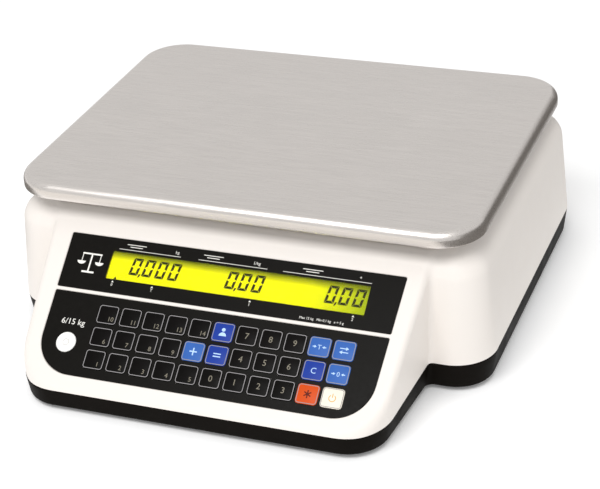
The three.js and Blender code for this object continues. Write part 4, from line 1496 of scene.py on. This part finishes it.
def add_key_board():
    """The key board: a plate under the keys with a pressed metal dome under each."""
    low, high = KEY_BOARD_TOP - BOARD_THICKNESS, KEY_BOARD_TOP
    width, length = KEY_SPAN + 24, KEY_ROWS[-1] - KEY_ROWS[0] + 17
    plate = rectangle(KEY_MIDDLE_X, -KEY_ROWS[1], width, length, 2)
    board = placed(slab(plate, low, high), SLOPE_FRAME)
    dome = lathe([(3, high), (3, -2.7), (2.7, -2.2), (2, -1.85), (1, -1.65), (0.4, -1.6)], 24)
    for x, s in key_centres():
        board.add(dome, 1, slope_place(x, s))
    piece("key_board_domes", board, "housing", [BOARD, ZINC], ["key_board"])


def chip(x, y, size, low, pitch=1.27):
    """A flat square chip and the legs along its four sides."""

    def ring(inset):
        return rectangle(x, y, size - 2 * inset, size - 2 * inset, 0.4)

    body = rounded_slab(ring, low + 0.3, low + 2.6, 0.3)
    legs = []
    count = int((size - 2) / pitch)
    for k in range(count):
        along = (k - (count - 1) / 2) * pitch
        for side in (-1, 1):
            reach = side * (size / 2 + 0.6)
            legs.append(slab(rectangle(x + along, y + reach, 0.5, 1.6), low - 0.05, low + 0.5))
            legs.append(slab(rectangle(x + reach, y + along, 1.6, 0.5), low - 0.05, low + 0.5))
    return body, legs


def socket(x, y, length, low):
    """A pale socket for a plug: its floor, its walls and a row of pins."""
    outer, well = rectangle(x, y, length, 8, 0.6), rectangle(x, y, length - 2, 6, 0.3)
    floor = low + SOCKET_FLOOR
    box = [slab(outer, low, floor), pane(outer, [well], floor, low + SOCKET_TOP)]
    count = int(length / 3)
    places = [x + (k - (count - 1) / 2) * SOCKET_PIN_PITCH for k in range(count)]
    return box, [slab(rectangle(px, y, 0.7, 0.7), floor, low + 7) for px in places]


def add_main_board():
    """The main board: two chips, two sockets, two capacitors and a relay, on four standoffs."""
    low, high = millimetre_box("main_board")
    x, y = (low.x + high.x) / 2, (low.y + high.y) / 2
    width, depth = high.x - low.x, high.y - low.y
    bottom = low.z + STANDOFF_HEIGHT
    top = bottom + BOARD_THICKNESS
    posts = [(x + i * (width / 2 - 5), y + j * (depth / 2 - 5)) for i in (-1, 1) for j in (-1, 1)]
    holes = [circle(px, py, 1.5, 20) for px, py in posts]
    board = Form().add(pane(rectangle(x, y, width, depth, 2), holes, bottom, top))
    black, metal, pale, grey = 1, 2, 3, 4
    for px, py in posts:
        board.add(slab(circle(px, py, 3, 6), low.z, bottom), metal)
    for dx, dy, size in CHIPS:
        body, legs = chip(x + dx, y + dy, size, top)
        board.add(body, black)
        for leg in legs:
            board.add(leg, metal)
    for dx, dy, length in SOCKETS:
        box, pins = socket(x + dx, y + dy, length, top)
        for part in box:
            board.add(part, pale)
        for pin in pins:
            board.add(pin, metal)
    can = lathe([(4.8, 0), (4.8, 0.8), (4.4, 1.3), (4.8, 1.8), (4.8, 11.4), (4.3, 11.8)], 32)
    for dx, dy in CAPACITORS:
        board.add(can, grey, Matrix.Translation((x + dx, y + dy, top)))

    def relay(inset):
        dx, dy, side = RELAY
        return rectangle(x + dx, y + dy, side - 2 * inset, side - 2 * inset, 1)

    board.add(rounded_slab(relay, top, high.z, 0.6), black)
    finishes = [BOARD, INLET_BLACK, ZINC, PALE, BATTERY_GREY]
    piece("main_board_parts", board, "housing", finishes, ["main_board"])


def cell_eyes():
    """The window through the load cell: two round eyes joined by a slot, as one outline."""
    mouth = math.asin(CELL_SLOT / 2 / CELL_EYE_RADIUS)
    turns = np.linspace(mouth, 2 * math.pi - mouth, 24)
    x, y = CELL_EYE_RADIUS * np.cos(turns) - CELL_EYE_X, CELL_EYE_RADIUS * np.sin(turns)
    left = np.column_stack([x, y])
    return np.concatenate([left, -left])


def add_load_cell():
    """A milled beam with two eyes, and a gauge over each eye."""
    low, high = millimetre_box("load_cell")
    middle, size = (low + high) / 2, high - low
    upright = Matrix.Translation(middle) @ Matrix.Rotation(math.pi / 2, 4, "X")
    along = np.linspace(-size.x / 2, size.x / 2, 27)
    lower = np.column_stack([along, np.full(len(along), -size.z / 2)])
    sides = np.concatenate([lower, -lower])
    beam = Form().add(pane(sides, [cell_eyes()], -size.y / 2, size.y / 2), 0, upright)
    for x in (-CELL_EYE_X, CELL_EYE_X):
        gauge = rectangle(middle.x + x, middle.y, 10, 8, 1)
        beam.add(slab(gauge, high.z, high.z + 0.25), 1)
    mesh = beam.mesh("load_cell_beam")
    mesh.shade_smooth()
    mesh.set_sharp_from_angle(angle=math.radians(35))
    for finish in (MACHINED, GAUGE):
        mesh.materials.append(finish)
    made = bpy.data.objects.new("load_cell_beam", mesh)
    bpy.context.scene.collection.objects.link(made)
    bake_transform(made)
    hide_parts("load_cell")


def add_battery():
    """A sealed lead battery: a case, a glued lid with a groove, and two blade terminals."""
    low, high = millimetre_box("battery")
    middle, size = (low + high) / 2, high - low
    blade_height = 6.5

    def ring(inset):
        return rectangle(middle.x, middle.y, size.x - 2 * inset, size.y - 2 * inset, 3)

    top = high.z - blade_height
    form = Form().add(rounded_slab(ring, low.z, top - 6, 0.8))
    form.add(slab(ring(1), top - 6.5, top - 4.5))
    form.add(rounded_slab(ring, top - 5, top, 1.2))
    for side in (-1, 1):
        blade = rectangle(middle.x + side * size.x * 0.32, middle.y - size.y * 0.42, 4.8, 0.8)
        form.add(slab(blade, top - 0.5, high.z), 1)
    piece("battery_case", form, "housing", [BATTERY_GREY, ZINC], ["battery"])


def add_transformer():
    """The mains transformer: a laminated core, a taped winding and a steel mounting strap."""
    low, high = millimetre_box("power_transformer")
    middle, size = (low + high) / 2, high - low
    form = Form()
    core = rectangle(middle.x, middle.y, size.x - 16, size.y * 0.62, 0.5)
    form.add(slab(core, low.z + 1.6, high.z))

    def winding(inset):
        return rectangle(middle.x, middle.y, size.x - 38 - 2 * inset, size.y - 2 * inset, 7)

    form.add(rounded_slab(winding, low.z + 9, high.z - 8, 2), 1)
    strap = rectangle(middle.x, middle.y, size.x, 18, 4)
    holes = [circle(middle.x + side * (size.x / 2 - 4), middle.y, 2, 20) for side in (-1, 1)]
    form.add(pane(strap, holes, low.z, low.z + 1.5), 2)
    piece("transformer_winding", form, "housing", [CORE, TAPE, ZINC],
          ["power_transformer"])


# ---- Camera, floor and light -------------------------------------------------------------


# The camera's place in metres, its angles in degrees and its lens on a 36 mm sensor.
CAMERA_PLACE = (0.4269, -1.01448, 0.6573)
CAMERA_ELEVATION, CAMERA_AZIMUTH, CAMERA_ROLL = 29.056, 22.117, -3.62
CAMERA_LENS, CAMERA_SENSOR = 106.5, 36

# The light of the even surroundings, and the floor's own faint glow.
WORLD_STRENGTH = 0.68
FLOOR_GLOW = 0.12


def add_camera():
    camera = bpy.data.objects.new("camera", bpy.data.cameras.new("camera"))
    bpy.context.scene.collection.objects.link(camera)
    place = Matrix.Translation(CAMERA_PLACE)
    azimuth = Matrix.Rotation(math.radians(CAMERA_AZIMUTH), 4, "Z")
    tilt = Matrix.Rotation(math.radians(90 - CAMERA_ELEVATION), 4, "X")
    roll = Matrix.Rotation(math.radians(CAMERA_ROLL), 4, "Z")
    camera.matrix_world = place @ azimuth @ tilt @ roll
    camera.data.sensor_width = CAMERA_SENSOR
    camera.data.lens = CAMERA_LENS
    bpy.context.scene.camera = camera


def add_floor():
    """A plain pale floor, large enough to fill every view."""
    work = bmesh.new()
    bmesh.ops.create_grid(work, x_segments=8, y_segments=8, size=6)
    mesh = bpy.data.meshes.new("floor")
    work.to_mesh(mesh)
    work.free()
    floor = bpy.data.objects.new("floor", mesh)
    bpy.context.scene.collection.objects.link(floor)
    paint = moulded("floor_paint", screen_colour(252, 252, 252), 0.9, mottle=0.002, specular=0)
    shader = paint.node_tree.nodes["Principled BSDF"]
    shader.inputs["Emission Color"].default_value = (1, 1, 1, 1)
    shader.inputs["Emission Strength"].default_value = FLOOR_GLOW
    mesh.materials.append(paint)


def flat_card(left, right, front, rear, height=0.01):
    """Four corners of a card lying just over the floor, in metres."""
    return [(left, front, height), (right, front, height), (right, rear, height), (left, rear, height)]


def standing_card(start, end, top):
    """Four corners of a card standing on the floor along a line, in metres."""
    return [(*start, 0.01), (*end, 0.01), (*end, top), (*start, top)]


def add_cards():
    """Cards on the floor and behind, seen only in reflections, that shape the steel rim.

    Dark ones on the right and left draw the dark lines at the rim's ends. A grey one in front
    calms the reflection in its skirt.
    """
    left, right, front, rear = 0.2, 1.5, -0.8, 1.8
    dark = [
        flat_card(left, right, front, rear),
        standing_card((right, front), (right, rear), 0.9),
        standing_card((left, rear), (right, rear), 0.8),
        flat_card(-0.7, -0.24, -0.14, 0.4),
    ]
    grey = [flat_card(-1.2, left, -1.5, -0.19)]
    points = [corner for card in dark + grey for corner in card]
    faces = [tuple(range(first, first + 4)) for first in range(0, len(points), 4)]
    mesh = bpy.data.meshes.new("cards")
    mesh.from_pydata(points, [], faces)
    mesh.materials.append(moulded("card_felt", screen_colour(116, 113, 110), 1.0, specular=0))
    mesh.materials.append(moulded("card_grey", screen_colour(230, 227, 223), 1.0, specular=0))
    mesh.polygons[-1].material_index = 1
    cards = bpy.data.objects.new("cards", mesh)
    bpy.context.scene.collection.objects.link(cards)
    cards.visible_camera = cards.visible_diffuse = cards.visible_shadow = False


def add_soft_box(name, place, aim, size, power):
    """A soft light at a place, turned towards its aim. Places are in metres, power in watts."""
    light = bpy.data.lights.new(name, "AREA")
    light.shape = "RECTANGLE"
    light.size, light.size_y = size
    light.energy = power
    holder = bpy.data.objects.new(name, light)
    bpy.context.scene.collection.objects.link(holder)
    holder.location = place
    holder.rotation_euler = (Vector(aim) - Vector(place)).to_track_quat("-Z", "Y").to_euler()


def add_lights():
    """A pale even surrounding and one soft light from the front, above the camera."""
    world = bpy.data.worlds.new("studio")
    bpy.context.scene.world = world
    world.use_nodes = True
    background = world.node_tree.nodes["Background"]
    background.inputs["Color"].default_value = (1, 1, 1, 1)
    background.inputs["Strength"].default_value = WORLD_STRENGTH
    add_soft_box("key_light", place=(0, -1.2, 1.8), aim=(0, 0, 0.05), size=(1.4, 0.8), power=26)
    bpy.context.scene.view_settings.view_transform = "Standard"


add_camera()
add_floor()
add_cards()
add_lights()
add_top_cover()
add_base()
add_platter()
add_spider()
add_feet()
add_panels()
add_front_display()
add_level()
add_keys()
add_printing()
add_capacity_mark()
add_rear_display()
add_inlet()
for spacer in ("cell_base_spacer", "cell_top_spacer"):
    refinish(spacer, ZINC)
add_key_board()
add_main_board()
add_load_cell()
add_battery()
add_transformer()
